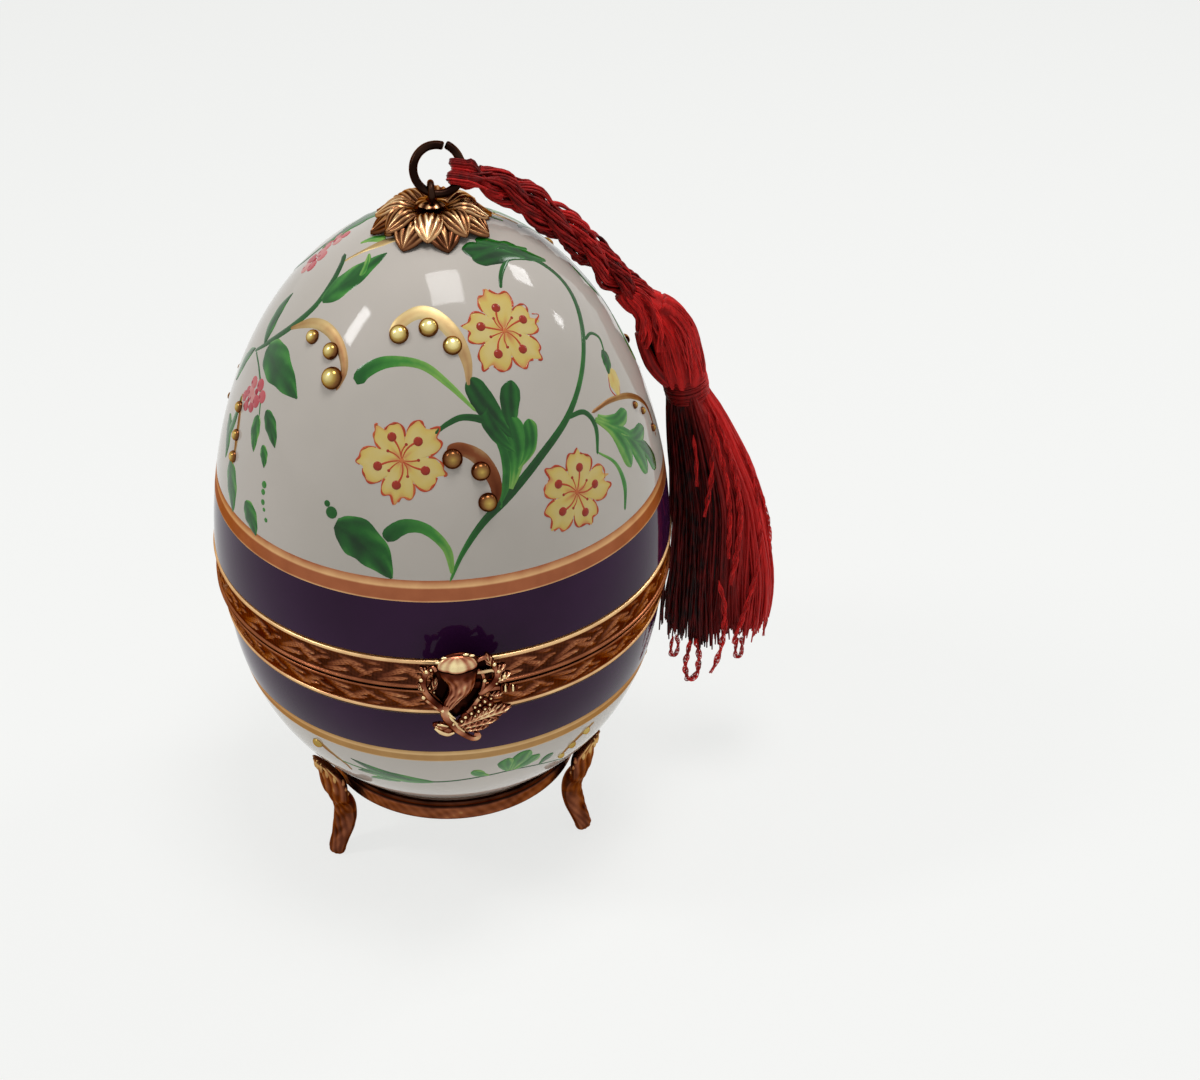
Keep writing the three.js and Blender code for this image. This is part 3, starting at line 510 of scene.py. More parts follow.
# The skirt's outline: share of its length, middle, half width and half depth
SKIRT_CURVE = smooth([
    (0.0, 32.5, 2.7, 2.7), (0.05, 33.0, 3.4, 3.1), (0.13, 34.1, 4.5, 3.6), (0.27, 35.8, 5.8, 4.3),
    (0.37, 36.9, 6.6, 4.7), (0.47, 37.6, 7.1, 5.0), (0.67, 38.2, 7.6, 5.3), (0.88, 38.25, 7.8, 5.5),
    (1.1, 38.25, 7.7, 5.5)], 90)
LOCKS = 15
THREADS = 720
THREAD_SIDES = 5
LOOP_BUNDLES = 5
LOOP_THREADS = 26
STRAY_THREADS = 70


def silken(shape, name, body, replaces=(), sharp=80):
    return shape.build(name, body, [red_silk], "red_silk", sharp, replaces)


def add_thread(shape, line, radii, lit):
    """Thread along a line, with a shade for each of its points."""
    shape.add(tube(line, radii, THREAD_SIDES), np.clip(np.repeat(lit, THREAD_SIDES), 0, 1))


def twisted(shape, line, diameter, plies, pitch, yarns=6, tone=0.42, contrast=0.12):
    """Rope along a line: plies wound about it, of fine yarns wound the other way and a little astray."""
    along = distances(line)
    normals, others = frames(line)
    diameter = (np.ones(len(line)) * diameter)[:, None]
    ply_radius = diameter / 2 / (1 + 1 / math.sin(math.pi / max(plies, 2)) * 0.92)
    start = np.interp(along, [0, 3], [0.72, 1])[:, None]
    yarn_radius = ply_radius * min(0.27, 2.9 / yarns)
    for k in range(plies):
        turn = 2 * math.pi * (k / plies + along / pitch)[:, None]
        turn = turn + 0.25 * np.sin(along * 0.55 + 2 * k)[:, None]
        uneven = 1 + 0.08 * np.sin(along * 0.9 + 2.2 * k)[:, None]
        offset = (diameter / 2 - ply_radius) * uneven * start
        middle = line + offset * (np.cos(turn) * normals + np.sin(turn) * others)
        ply_tone = contrast * math.sin(2.6 * k + 1)
        for j in range(yarns):
            # Every fourth yarn runs inside its ply
            inner = 0.45 if j % 4 == 3 else 1.0
            twist = 2 * math.pi * (j / yarns - along / (pitch * 1.1))[:, None] + k
            stray = 1 + 0.10 * np.sin(along * (0.8 + 0.2 * j) + 5 * j + 2 * k)[:, None]
            swing = (ply_radius - yarn_radius * 0.8) * inner * stray * start
            yarn = middle + swing * (np.cos(twist) * normals + np.sin(twist) * others)
            lit = tone + ply_tone + 0.42 * (random.random() - 0.35) + 0.1 * np.sin(along * 2 + j)
            add_thread(shape, yarn, yarn_radius[:, 0], lit)


def add_cord():
    count = 110
    line = smooth(CORD_ROUTE, count)
    rope = Shape()
    full = CORD_DIAMETER * np.interp(np.linspace(0, 1, count), [0, 0.15, 0.4, 0.7, 1],
                                     [1.05, 1.16, 1.24, 1.16, 1.02])
    twisted(rope, line, full, 3, 19, yarns=17, tone=0.36, contrast=0.16)
    return silken(rope, "tassel_cord_twist", "ring", ["tassel_cord"]), line


def add_loop():
    """Hank of silk folded round the ring's wire: bundles side by side, drawn back into the cord."""
    hank = Shape()
    sideways = np.array([1.0, 0.0, 0.0])
    plane_up = np.array([0.0, math.sin(math.radians(RING_LEAN)), math.cos(math.radians(RING_LEAN))])
    plane_out = np.array([0.0, -plane_up[2], plane_up[1]])
    start = np.array(CORD_ROUTE[0])
    eye = np.array([0.0, 0.0, EYE_HEIGHT])
    slip = math.radians(RING_SLIP)
    centre = eye + RING_RADIUS * (math.sin(slip) * sideways + math.cos(slip) * plane_up)
    inward = math.radians(-14)
    radial = math.cos(inward) * sideways + math.sin(inward) * plane_up
    along = math.cos(inward) * plane_up - math.sin(inward) * sideways
    wire = centre + RING_RADIUS * radial
    into = unit(np.array(CORD_ROUTE[1]) - start)
    side = unit(np.cross(into, plane_out))
    count = 34
    for b in range(LOOP_BUNDLES):
        spread = -1.15 + 0.60 * b
        deep = 0.42 + 0.22 * math.sin(1.9 * b + 0.5)
        tone = 0.34 + 0.26 * math.sin(2.3 * b + 1)
        place = 2 * math.pi * b / LOOP_BUNDLES + 0.5
        root = start + into * 2.4 + 1.25 * (math.cos(place) * side + math.sin(place) * plane_out)
        for _ in range(LOOP_THREADS):
            angle, out = 2 * math.pi * random.random(), 0.46 * random.random() ** 0.5
            aside, lift = out * math.cos(angle), out * math.sin(angle)
            face = RING_WIRE + 0.22 + deep + lift
            mid = wire + along * (spread * (1 - 0.08 * face) + aside)
            begin = root + aside * side + lift * plane_out
            end = start + into * 2.2 + aside * side * 2 - plane_out * (0.7 + lift)
            path = [
                begin + into * 1.6,
                begin,
                mid + radial * 1.2 + plane_out * face * 1.05,
                mid + radial * 0.2 + plane_out * face,
                mid - radial * face * 0.72 + plane_out * face * 0.70,
                mid - radial * face,
                mid - radial * face * 0.72 - plane_out * face * 0.70,
                mid + radial * 0.2 - plane_out * face,
                mid + radial * 1.2 - plane_out * face * 0.9,
                end,
            ]
            lit = tone + 0.40 * (random.random() - 0.4) + 0.10 * np.sin(np.linspace(0, 8, count) + b)
            add_thread(hank, smooth(path, count), 0.125, lit)
    return silken(hank, "tassel_loop", "ring")


def tassel_axes():
    end = np.asarray(smooth(CORD_ROUTE, 90))
    tangent = unit(end[-1] - end[-2])
    centre = end[-1] + tangent * (GAP + HEAD_RADIUS)
    tilt = math.radians(HEAD_TILT)
    down = np.array([math.sin(tilt), 0, -math.cos(tilt)])
    return centre, down, np.array([math.cos(tilt), 0, math.sin(tilt)])


cord, cord_line = add_cord()
loop = add_loop()
head_centre, tassel_down, tassel_across = tassel_axes()


def laid(shape, rows, sides, streaks, tone=0.3, seed=0.0, depth=1.0):
    """Hank of fine threads along (x, y, z, half width) rows: its skin follows the lie of the silk."""
    rows = smooth(rows, 54)
    middle, half = rows[:, :3], rows[:, 3:]
    tangents = unit(np.gradient(middle, axis=0))
    back = np.array([0.0, 1.0, 0.0])
    across = unit(np.cross(np.broadcast_to(back, tangents.shape), tangents))
    angles = circle(sides)[None, :]
    t = np.linspace(0, 1, len(rows))[:, None]
    lie = angles + 0.10 * np.sin(3.1 * t + seed) + 0.03 * np.sin(9 * t + 3 * angles)
    fine = 0.5 + 0.5 * np.cos(streaks * lie + 1.8 * np.sin(5 * lie + seed))
    coarse = 0.5 + 0.5 * np.cos(9 * lie + 1.5 * np.sin(2 * lie + 2 * t) + seed)
    wide = half * (0.93 + 0.035 * fine + 0.085 * coarse)
    points = middle[:, None] + wide[..., None] * (
        np.cos(angles)[..., None] * across[:, None] + depth * np.sin(angles)[..., None] * back)
    # Painted highlights on the ridges of the skin and painted shade in the grooves between them
    lit = tone + 0.30 * fine + 0.30 * coarse + 0.06 * np.sin(7 * t + 4 * angles)
    shape.add(loft(points), np.clip(lit, 0, 1).ravel())


def add_cord_ends():
    """The cord's last strands, folded over the tassel's head, with their ends hanging free."""
    ends = Shape()
    y = head_centre[1]
    laid(ends, [(23.8, y - 0.1, 77.8, 1.2), (25.4, y - 0.2, 76.4, 1.55),
                (26.9, y, 75.9, 1.9), (28.2, y + 0.1, 75.2, 1.95)], 240, 80, 0.40, 1.0)
    for thick, points in (
        (1.35, [(23.9, y - 1.0, 78.6), (25.4, y - 1.9, 77.3), (26.5, y - 2.3, 75.0),
                (26.9, y - 2.3, 72.6), (26.8, y - 2.2, 70.6)]),
        (1.3, [(24.6, y - 0.8, 78.9), (26.6, y - 1.9, 77.6), (27.9, y - 2.5, 75.0),
               (28.4, y - 2.7, 72.4), (28.4, y - 2.7, 70.2)]),
        (1.25, [(23.6, y - 1.1, 78.0), (24.8, y - 1.8, 76.4), (25.6, y - 1.9, 74.6),
                (25.8, y - 1.8, 73.0)]),
        (1.2, [(24.2, y - 1.5, 78.2), (25.6, y - 2.5, 76.4), (26.2, y - 2.8, 74.0),
               (26.0, y - 2.6, 71.9)]),
    ):
        ease = np.interp(np.linspace(0, 1, 40), [0, 0.1, 0.85, 1], [0.8, 1, 1, 0.62])
        twisted(ends, smooth(points, 40), thick * ease, 2, 9, yarns=8, tone=0.62)
    return silken(ends, "tassel_cord_ends", "ring")


def add_head():
    """Hank folded over from the cord into the binding, with looser strands on its inner side."""
    head = Shape()
    y = head_centre[1]
    rows = [(28.2, y, 75.3, 2.0), (29.3, y, 74.2, 2.3), (30.25, y, 72.7, 2.6), (30.9, y, 71.0, 2.8),
            (31.5, y, 68.6, 2.9), (32.0, y, 66.4, 2.95), (32.4, y, 64.4, 2.8)]
    laid(head, rows, 420, 120, 0.34, 0.3, 1.04)
    laid(head, [(26.0, y - 0.3, 71.8, 0.45), (26.8, y - 0.5, 69.6, 0.72), (27.9, y - 0.7, 67.2, 0.85),
                (29.5, y - 0.8, 65.2, 0.9), (31.0, y - 0.8, 63.8, 0.8)], 90, 30, 0.12, 2.0)
    laid(head, [(27.6, y + 1.4, 73.6, 0.8), (27.9, y + 1.5, 71.0, 1.3), (28.6, y + 1.4, 68.4, 1.4),
                (30.0, y + 1.2, 65.6, 1.2), (31.0, y + 1.0, 64.0, 0.9)], 90, 24, -0.25, 4.0)
    curve = smooth(rows, 60)
    count = 22
    thick = 0.10 * np.interp(np.linspace(0, 1, count), [0, 0.15, 0.85, 1], [0.4, 1, 1, 0.4])
    for i in range(STRAY_THREADS):
        angle = math.radians(-170 + 160 * random.random())
        start, end = 0.05 + 0.5 * random.random(), 0.55 + 0.4 * random.random()
        t = np.linspace(start, max(end, start + 0.2), count)
        x, z, half = (np.interp(t, np.linspace(0, 1, 60), curve[:, k]) for k in (0, 2, 3))
        slope = unit(np.stack([np.gradient(x), np.gradient(z)], -1))
        sweep = angle + 0.15 * np.sin(3 * t + i)
        out = half + 0.03 + 0.08 * random.random()
        line = np.stack([x - slope[:, 1] * out * np.cos(sweep), y + out * 1.04 * np.sin(sweep),
                         z + slope[:, 0] * out * np.cos(sweep)], -1)
        head.add(tube(line, thick, THREAD_SIDES), 0.40 + 0.5 * random.random())
    return silken(head, "tassel_head_threads", "tassel", ["tassel_head"])


def add_binding():
    """Neck binding: a broad flat band, one fine thread wound round and round."""
    winding = Shape()
    turns, sides = 26, 6
    height = BINDING_HEIGHT + 0.9
    thread = height / turns / 2 * 1.30
    angles = np.linspace(0, 2 * math.pi * (turns - 1), 48 * (turns - 1))
    share = angles / angles[-1]
    drop = HEAD_LENGTH + GAP + thread + (height - 2 * thread) * share + 0.10 * np.sin(angles * 0.23)
    radius = BINDING_RADIUS - 0.10 + 0.16 * np.sin(math.pi * share) + 0.04 * np.sin(angles * 0.37)
    centre = head_centre + np.outer(drop, tassel_down) + BINDING_SHIFT
    line = centre + radius[:, None] * (
        np.outer(np.cos(angles), tassel_across) + np.outer(np.sin(angles), [0.0, 1.0, 0.0]))
    # Painted light on the thread's right side and painted shade on its left
    lit = 0.36 + 0.30 * np.cos(angles) + 0.10 * np.sin(angles * 2.3) * np.sin(angles * 0.31)
    winding.add(tube(line, thread, sides), np.repeat(lit, sides))
    # What the thread is wound on, painted dark as the shade between the turns
    angles = circle(40)[:, None]
    rings = []
    for drop in (HEAD_LENGTH - 0.1, HEAD_LENGTH + BINDING_HEIGHT + 1.2):
        middle = head_centre + tassel_down * drop + BINDING_SHIFT
        rings.append(middle + np.cos(angles) * (tassel_across * (BINDING_RADIUS - 0.2))
                     + np.sin(angles) * np.array([0, BINDING_RADIUS - 0.2, 0]))
    winding.add(loft(rings), 0.1)
    return silken(winding, "tassel_binding_thread", "tassel", ["tassel_binding"], 70)


def skirt_place(share, u, v):
    """Points of the skirt at shares of its length, for places (u, v) in its unit disc."""
    share = np.asarray(share, float)
    middle, half, depth = (np.interp(share, SKIRT_CURVE[:, 0], SKIRT_CURVE[:, k]) for k in (1, 2, 3))
    y = np.full(share.shape, head_centre[1])
    return np.stack([middle + half * u, y + depth * v, SKIRT_TOP - SKIRT_LENGTH * share], -1)


def add_skirt():
    """Skirt of silk threads that hang from the neck in locks, with painted shade in the gaps between
    them, and uneven ends.
    """
    threads = Shape()
    share = np.linspace(0, 1, 18)
    thick = 0.17 * np.interp(share, [0, 0.08, 0.92, 1], [0.7, 1, 1, 0.6])
    locks = []
    for k in range(LOCKS):
        angle = 2 * math.pi * (k + 0.6 * random.random()) / LOCKS
        locks.append((angle, 0.66 + 0.26 * random.random(), 0.90 + 0.09 * random.random(),
                      2 * math.pi * random.random(2), 0.9 + 1.6 * random.random(2), random.random()))
    for i in range(THREADS):
        angle, out, length, phase, rate, tone = locks[i % LOCKS]
        length = length - 0.05 * random.random() ** 2
        s = share * length
        gather = np.interp(s, [0, 0.10, 0.5, 1], [0.30, 0.55, 0.75, 1.0])
        around = angle + gather * 0.27 * random.normal()
        reach = np.clip(out + gather * 0.10 * random.normal(), 0.1, 0.97)
        line = skirt_place(s, reach * np.cos(around), reach * np.sin(around))
        sway = np.stack([np.sin(phase[k] + rate[k] * 3 * s) for k in (0, 1)] + [0 * s], -1)
        own = np.stack([np.sin(9 * random.random() + speed * s) for speed in (7, 6)] + [0 * s], -1)
        line = line + sway * (0.08 + 0.70 * s)[:, None] + own * (0.04 + 0.24 * s)[:, None]
        # The skirt's inner side lies against the box
        line[:, 0] = np.maximum(line[:, 0], SKIRT_SIDE - 0.15 - 0.8 * (s < 0.06))
        fold = 0.5 + 0.5 * np.sin(2.0 * angle + 6 * tone + 0.8 * s)
        # Painted light and shade: threads lighter on the right, darker on the left towards the box,
        # where its shadow falls
        outside = np.interp(reach * np.cos(around), [-1, -0.4, 0.0, 0.3, 0.6, 1],
                            [0.04, 0.05, 0.14, 0.42, 0.62, 0.80])
        lit = outside * (0.55 + 0.55 * fold) + 0.22 * (random.random() - 0.4) * (0.3 + outside) + 0.02
        add_thread(threads, line, thick, lit)
    # Thicker twisted strands that lie over the others, painted lighter as the highlights of the outer
    # layer
    for strand, diameter in (
        ([(0.13, 0.30, -0.97), (0.22, 0.10, -1.0), (0.32, -0.12, -0.99), (0.44, -0.35, -0.94)], 0.75),
        ([(0.15, -0.25, -0.96), (0.24, -0.33, -0.96), (0.33, -0.42, -0.92)], 0.65),
        ([(0.10, 0.62, -0.80), (0.30, 0.48, -0.90), (0.50, 0.30, -0.98), (0.70, 0.10, -1.02)], 0.95),
        ([(0.08, 0.45, -0.90), (0.30, 0.25, -0.98), (0.46, 0.12, -1.0), (0.60, 0.06, -1.0)], 0.8),
        ([(0.34, 0.85, -0.55), (0.55, 0.72, -0.72), (0.75, 0.50, -0.88), (0.94, 0.20, -1.0)], 0.85),
        ([(0.20, 0.90, -0.45), (0.50, 0.92, -0.42), (0.80, 0.90, -0.45), (0.97, 0.86, -0.5)], 0.8),
        ([(0.68, -0.12, -1.02), (0.82, 0.02, -1.02), (0.96, -0.02, -1.0), (1.06, -0.18, -0.96)], 0.9),
    ):
        line = smooth([skirt_place(*place) for place in strand], 40)
        ease = np.interp(np.linspace(0, 1, 40), [0, 0.1, 0.9, 1], [0.4, 1, 1, 0.6])
        twisted(threads, line, diameter * ease, 2, 6, yarns=5, tone=0.70)
    # Strands that turn back in loops at the lower end: start, depth, width and diameter
    for place, low, wide, diameter in (
        ((0.93, -0.50, -0.8), 7.2, 1.1, 0.95), ((0.94, 0.35, -0.8), 3.4, 0.5, 0.7),
        ((0.94, -0.8, -0.5), 3.4, 0.6, 0.7), ((0.93, 0.6, 0.6), 3.8, 0.6, 0.7),
        ((0.93, -0.2, 0.8), 4.4, 0.7, 0.7),
    ):
        top = skirt_place(*place)
        turn = 0.5 * random.random()
        away = np.array([math.cos(turn), math.sin(turn), 0.0]) * wide
        down = np.array([0, 0, -1.0]) * low
        line = smooth([top - away * 0.5, top - away + down * 0.5, top - away * 0.8 + down * 0.9,
                       top + down, top + away * 0.8 + down * 0.85, top + away + down * 0.45,
                       top + away * 0.4], 44)
        twisted(threads, line, diameter, 2, 4, yarns=5, tone=0.55)
    skirt = silken(threads, "tassel_threads", "tassel", ["tassel_skirt"])
    # Near-black body inside the skirt: painted shade that shows in the gaps between the threads
    angles = circle(40)
    rings = [skirt_place(np.full(40, s), 0.66 * np.cos(angles), 0.66 * np.sin(angles))
             for s in np.linspace(0.0, 0.90, 18)]
    core = Shape().add(loft(rings), 0.3)
    core.build("tassel_core", "tassel", [shadow_silk], "red_silk", 80)
    return skirt


cord_ends = add_cord_ends()
head = add_head()
binding = add_binding()
skirt = add_skirt()

# Porcelain shells, with their coloured and gilded bands
UPPER_GOLD = (55.95, 57.83)
LOWER_GOLD = (31.04, 29.68)
POST_HOLE = 1.2
# The shells' materials, in order
WHITE, PURPLE, GILT = range(3)


def swept(shell, start, end, steps, inset=0.0):
    """Points of a shell's curve between two radii, evenly spaced by angle."""
    full = shell.full - inset
    angles = np.linspace(math.acos(min(start / full, 1)), math.acos(min(end / full, 1)), steps)
    radii = full * np.cos(angles)
    return np.stack([radii, shell.height(radii, inset)], -1)


def by_height(shell, low, high, steps):
    heights = np.linspace(low, high, steps)
    return np.stack([shell.radius(heights), heights], -1)


def zoned(parts, segments=224):
    """One turned body from outlines in order, each with the index of its material and its shade."""
    points, faces = lathe(np.vstack([part for part, _, _ in parts]), segments)
    slots = np.repeat([slot for part, slot, _ in parts for _ in part], segments)
    lit = np.repeat([shade for part, _, shade in parts for _ in part], segments)
    return Shape().add((points, faces), lit, slots.tolist())


def gold_line(shell, low, high):
    """Gilded band on a shell: its two edges are painted lighter than its middle, as painted highlights.
    """
    edge = (high - low) * 0.13
    return [(by_height(shell, low, low, 1), GILT, 0.95),
            (by_height(shell, low + edge, high - edge, 5), GILT, 0.45),
            (by_height(shell, high, high, 1), GILT, 0.95)]


def add_shells():
    ledge, mouth = UPPER_RIM + GAP, UPPER_EDGE + 0.7 + GAP
    rebate = BEZEL - REBATE - GAP
    inner_mouth = min(float(lid.radius(mouth, WALL)), rebate - RIM_WALL)
    upper = zoned([
        (by_height(lid, ledge, UPPER_GOLD[0], 12)[:-1], PURPLE, 0.5),
        *gold_line(lid, *UPPER_GOLD),
        (swept(lid, float(lid.radius(UPPER_GOLD[1])), POST_HOLE, 64)[1:], WHITE, 0.5),
        (swept(lid, POST_HOLE, inner_mouth, 48, WALL), WHITE, 0.5),
        ([(inner_mouth, mouth), (rebate, mouth), (rebate, ledge)], WHITE, 0.5),
    ])
    upper.build("upper_shell_glazed", "lid", [white_glaze, purple_glaze, fired_gold], "porcelain", 40,
                ["upper_shell"])
    ledge, mouth = LOWER_RIM - GAP, LOWER_EDGE - 0.7 - GAP
    rebate = LOWER_BEZEL - REBATE - GAP
    inner_mouth = min(float(base.radius(mouth, WALL)), rebate - RIM_WALL)
    foot_radius = float(base.radius(FOOT))
    floor_radius = float(base.radius(FOOT + WALL, WALL))
    lower = zoned([
        ([(0.0, FOOT), (foot_radius - 0.5, FOOT)], WHITE, 0.5),
        (swept(base, foot_radius, float(base.radius(LOWER_GOLD[1])), 30)[:-1], WHITE, 0.5),
        *gold_line(base, LOWER_GOLD[1], LOWER_GOLD[0]),
        (by_height(base, LOWER_GOLD[0], ledge, 12)[1:-1], PURPLE, 0.5),
        ([(float(base.radius(ledge)), ledge), (rebate, ledge), (rebate, mouth), (inner_mouth, mouth)],
         WHITE, 0.5),
        (swept(base, inner_mouth, floor_radius, 44, WALL), WHITE, 0.5),
        ([(0.0, FOOT + WALL)], WHITE, 0.5),
    ])
    lower.build("lower_shell_glazed", "base", [white_glaze, purple_glaze, lower_gold], "porcelain", 40,
                ["lower_shell"])


add_shells()


# Painting: strokes, leaves and petals laid on the glaze, and raised beads of gold

# Points across the face of a fine line, a stroke and a leaf
LINE_ACROSS, STROKE_ACROSS, LEAF_ACROSS = 7, 9, 15
PETALS = 5


def painted(shell, line, widths, lift, across, over=0.0):
    """Domed stroke of enamel along a line on a shell: its sides sink just under the glaze."""
    line = shell.project(line)
    normals = shell.normal(line)
    tangents = unit(np.gradient(line, axis=0))
    sides = unit(np.cross(tangents, normals))
    widths = np.broadcast_to(np.asarray(widths, float), len(line))
    shares = np.linspace(-1, 1, across)
    reach = shares[None, :, None] * widths[:, None, None] / 2
    top = shell.project(line[:, None] + sides[:, None] * reach)
    dome = lift * np.sqrt(np.clip(1 - shares ** 2, 0, 1)) - 0.01
    top = top + shell.normal(top) * (dome * np.minimum(widths[:, None] / 0.4, 1) + over)[..., None]
    under = np.array([0.7, -0.7])
    low = line[:, None] + sides[:, None] * (under[None, :, None] * widths[:, None, None] / 2)
    low = shell.project(low) - normals[:, None] * 0.05
    return loft(np.concatenate([top, low], 1))


def and_under(lit):
    """Shades across a stroke's face, with those of the two lines of points under it."""
    return np.concatenate([lit, lit[:, :2]], 1).ravel()


def places(shell, pairs, turn=0):
    return np.array([shell.at(azimuth + turn, height) for azimuth, height in pairs])


def stroke(shape, shell, pairs, widths, lift=0.05, shade=(0.5, 0.5), turn=0, steps=40):
    """Round-ended stroke through (azimuth, height) places, its widths and shades spread along it."""
    line = smooth(places(shell, pairs, turn), steps)
    t = np.linspace(0, 1, steps)
    long = np.linalg.norm(np.diff(line, axis=0), axis=1).sum()
    spread = spread_over(widths, steps)
    near_end = np.minimum(t, 1 - t) * long / np.maximum(spread / 2, 0.05)
    spread = spread * np.sqrt(1 - np.clip(1 - near_end, 0, 0.995) ** 2)
    cross = np.abs(np.linspace(-1, 1, STROKE_ACROSS))
    lit = spread_over(shade, steps)[:, None] + 0.16 * (cross[None, :] - 0.5)
    shape.add(painted(shell, line, spread, lift, STROKE_ACROSS), and_under(lit))


def bowed(shell, start, end, bend, turn):
    """Line that bows from one place to another, the shares along it and the straight distance."""
    a, b = places(shell, [start, end], turn)
    aside = np.cross(shell.normal((a + b) / 2), b - a)
    t = np.linspace(0, 1, 40)
    line = a + np.outer(t, b - a) + np.outer(np.sin(math.pi * t) * bend, aside)
    return line, t, np.linalg.norm(b - a)


def leaf(shape, shell, start, end, width, bend=0.12, lift=0.07, shade=(0.25, 0.75), turn=0, blunt=0.75):
    """Pointed leaf from its stalk to its tip, darker along its middle, in visible brush strokes."""
    line, t, _ = bowed(shell, start, end, bend, turn)
    widths = width * np.sin(math.pi * np.clip(t, 0.012, 0.99) ** blunt) ** 0.72
    widths = widths * (1 + 0.05 * np.sin(t * 17 + width * 9))
    cross = np.linspace(-1, 1, LEAF_ACROSS)[None, :]
    lit = np.interp(t, [0, 1], shade)[:, None] * 0.6 + 0.40 * np.abs(cross - 0.15) ** 0.9
    lit = lit + 0.16 * np.sin(14 * t[:, None] - 5 * np.abs(cross) + 2 * cross) * (0.3 + np.abs(cross))
    body = painted(shell, line, np.maximum(widths, 0.10), lift, LEAF_ACROSS)
    shape.add(body, np.clip(and_under(lit), 0, 1))


def lobe(shape, shell, start, end, width, bend=0.12, shade=(0.7, 0.1), turn=0):
    """Round-ended lobe of a leaf in one pressed brush stroke: pale at its root, dark at its end."""
    line, t, long = bowed(shell, start, end, bend, turn)
    swell = np.interp(t, [0, 0.2, 0.45, 0.7, 0.85, 1.0], [0.22, 0.50, 0.88, 1.0, 0.96, 0.72])
    swell = swell * (1 + 0.05 * np.sin(11 * t + 5 * width))
    left = (1 - t) * long / (width * 0.45)
    widths = width * swell * np.sqrt(1 - np.clip(1 - left, 0, 0.99) ** 2)
    cross = np.linspace(-1, 1, LEAF_ACROSS)[None, :]
    lit = np.interp(t, [0, 0.55, 1], [shade[0], shade[1], shade[1] + 0.14])[:, None]
    lit = lit + 0.26 * np.clip(cross, 0, 1) + 0.10 * np.abs(cross)
    lit = lit + 0.12 * np.sin(7 * cross + 4 * t[:, None] + 3 * width)
    body = painted(shell, line, np.maximum(widths, 0.1), 0.09, LEAF_ACROSS)
    shape.add(body, np.clip(and_under(lit), 0, 1))


def petal_edge(angle, radius, turn, seed):
    """Edge of a flower at an angle: broad wavy petals with small curling tips, and narrow notches."""
    pitch = 2 * math.pi / PETALS
    which = np.floor((angle - turn + math.pi / PETALS) / pitch)
    local = (angle - turn + math.pi / PETALS) % pitch - math.pi / PETALS
    vary, lean = np.sin(which * 2.7 + seed), np.sin(which * 4.1 + seed * 2)
    share = np.abs(local) / (math.pi / PETALS)
    rounding = np.sqrt(np.clip(1 - share ** 4.5, 0, 1))
    tip = np.exp(-((local - 0.16 * lean) / 0.085) ** 2)
    shoulder = np.exp(-((np.abs(local) - 0.36) / 0.14) ** 2)
    ripple = 0.03 * np.sin(local * 15 + 2 * which + seed) * (1 - share)
    return radius * (0.40 + 0.38 * rounding + 0.16 * tip + 0.055 * shoulder + ripple + 0.055 * vary)


def flower(fill, lines, shell, place, radius, turn_deg, turn=0):
    """Open flower: a painted fill, a fine red outline with breaks, and stamens that end in dots."""
    centre = places(shell, [place], turn)[0]
    normal = shell.normal(centre)
    right = unit(np.cross([0, 0, 1.0], normal))
    up = np.cross(normal, right)
    start = math.radians(turn_deg)
    seed = place[0] * 0.3
    angles = circle(260)
    edge = petal_edge(angles, radius, start, seed)
    outward = np.cos(angles)[:, None] * right + np.sin(angles)[:, None] * up
    rings, lit = [], []
    for k in np.linspace(0.10, 1, 12):
        ring = shell.project(centre + outward * (edge * k)[:, None])
        rings.append(ring + shell.normal(ring) * (0.05 * (1 - k ** 8) - 0.01))
        blush = np.interp(k, [0.1, 0.25, 0.5, 0.75, 0.9, 1.0], [0.15, 0.45, 0.85, 0.8, 0.5, 0.25])
        lit.append(blush + 0.22 * np.sin(3 * angles + 2 * seed) * np.sin(5 * angles + seed + 2 * k))
    sunk = shell.project(centre + outward * (edge * 0.9)[:, None])
    rings.append(sunk - shell.normal(sunk) * 0.06)
    lit.append(np.ones(len(angles)))
    fill.add(loft(rings), np.clip(np.concatenate(lit), 0, 1))
    for p in range(PETALS):
        middle = start + 2 * math.pi * p / PETALS
        # Each petal's outline is drawn in two strokes that part at the tip
        part = 0.10 * math.sin(p * 5 + seed)
        for low, high in ((-0.97, part), (0.16 + part, 0.97)):
            spread = middle + math.pi / PETALS * np.linspace(low, high, 36)
            line = centre + (np.cos(spread)[:, None] * right + np.sin(spread)[:, None] * up) * (
                petal_edge(spread, radius, start, seed) * 0.985)[:, None]
            widths = 0.10 + 0.20 * np.sin(np.linspace(0, 7, 36) + 2 * p + seed + 3 * low) ** 2
            lines.add(painted(shell, line, widths, 0.06, LINE_ACROSS, 0.025),
                      0.30 + 0.45 * random.random())
        for share, swing, size in ((0.50, 0.08 * math.sin(p * 3 + seed), 0.56), (0.33, 0.5, 0.22)):
            tip_angle = middle + swing
            tip = (math.cos(tip_angle) * right + math.sin(tip_angle) * up) * radius * share
            bow = np.cross(normal, tip) * 0.14 * math.sin(p * 2 + seed)
            t = np.linspace(0, 1, 12)
            stamen = centre + np.outer(t, tip) + np.outer(np.sin(math.pi * t), bow)
            widths = np.interp(t, [0, 1], [0.10, 0.30]) * (size + 0.45)
            lines.add(painted(shell, stamen, widths, 0.05, LINE_ACROSS, 0.045), 0.55)
            lines.add(bead(shell, centre + tip, size, 0.34), 0.05)
    lines.add(bead(shell, centre, 0.34, 0.25), 0.8)


BEAD_SIDES = 20
BEAD_RISE = np.linspace(0, 1, 8)[:-1]


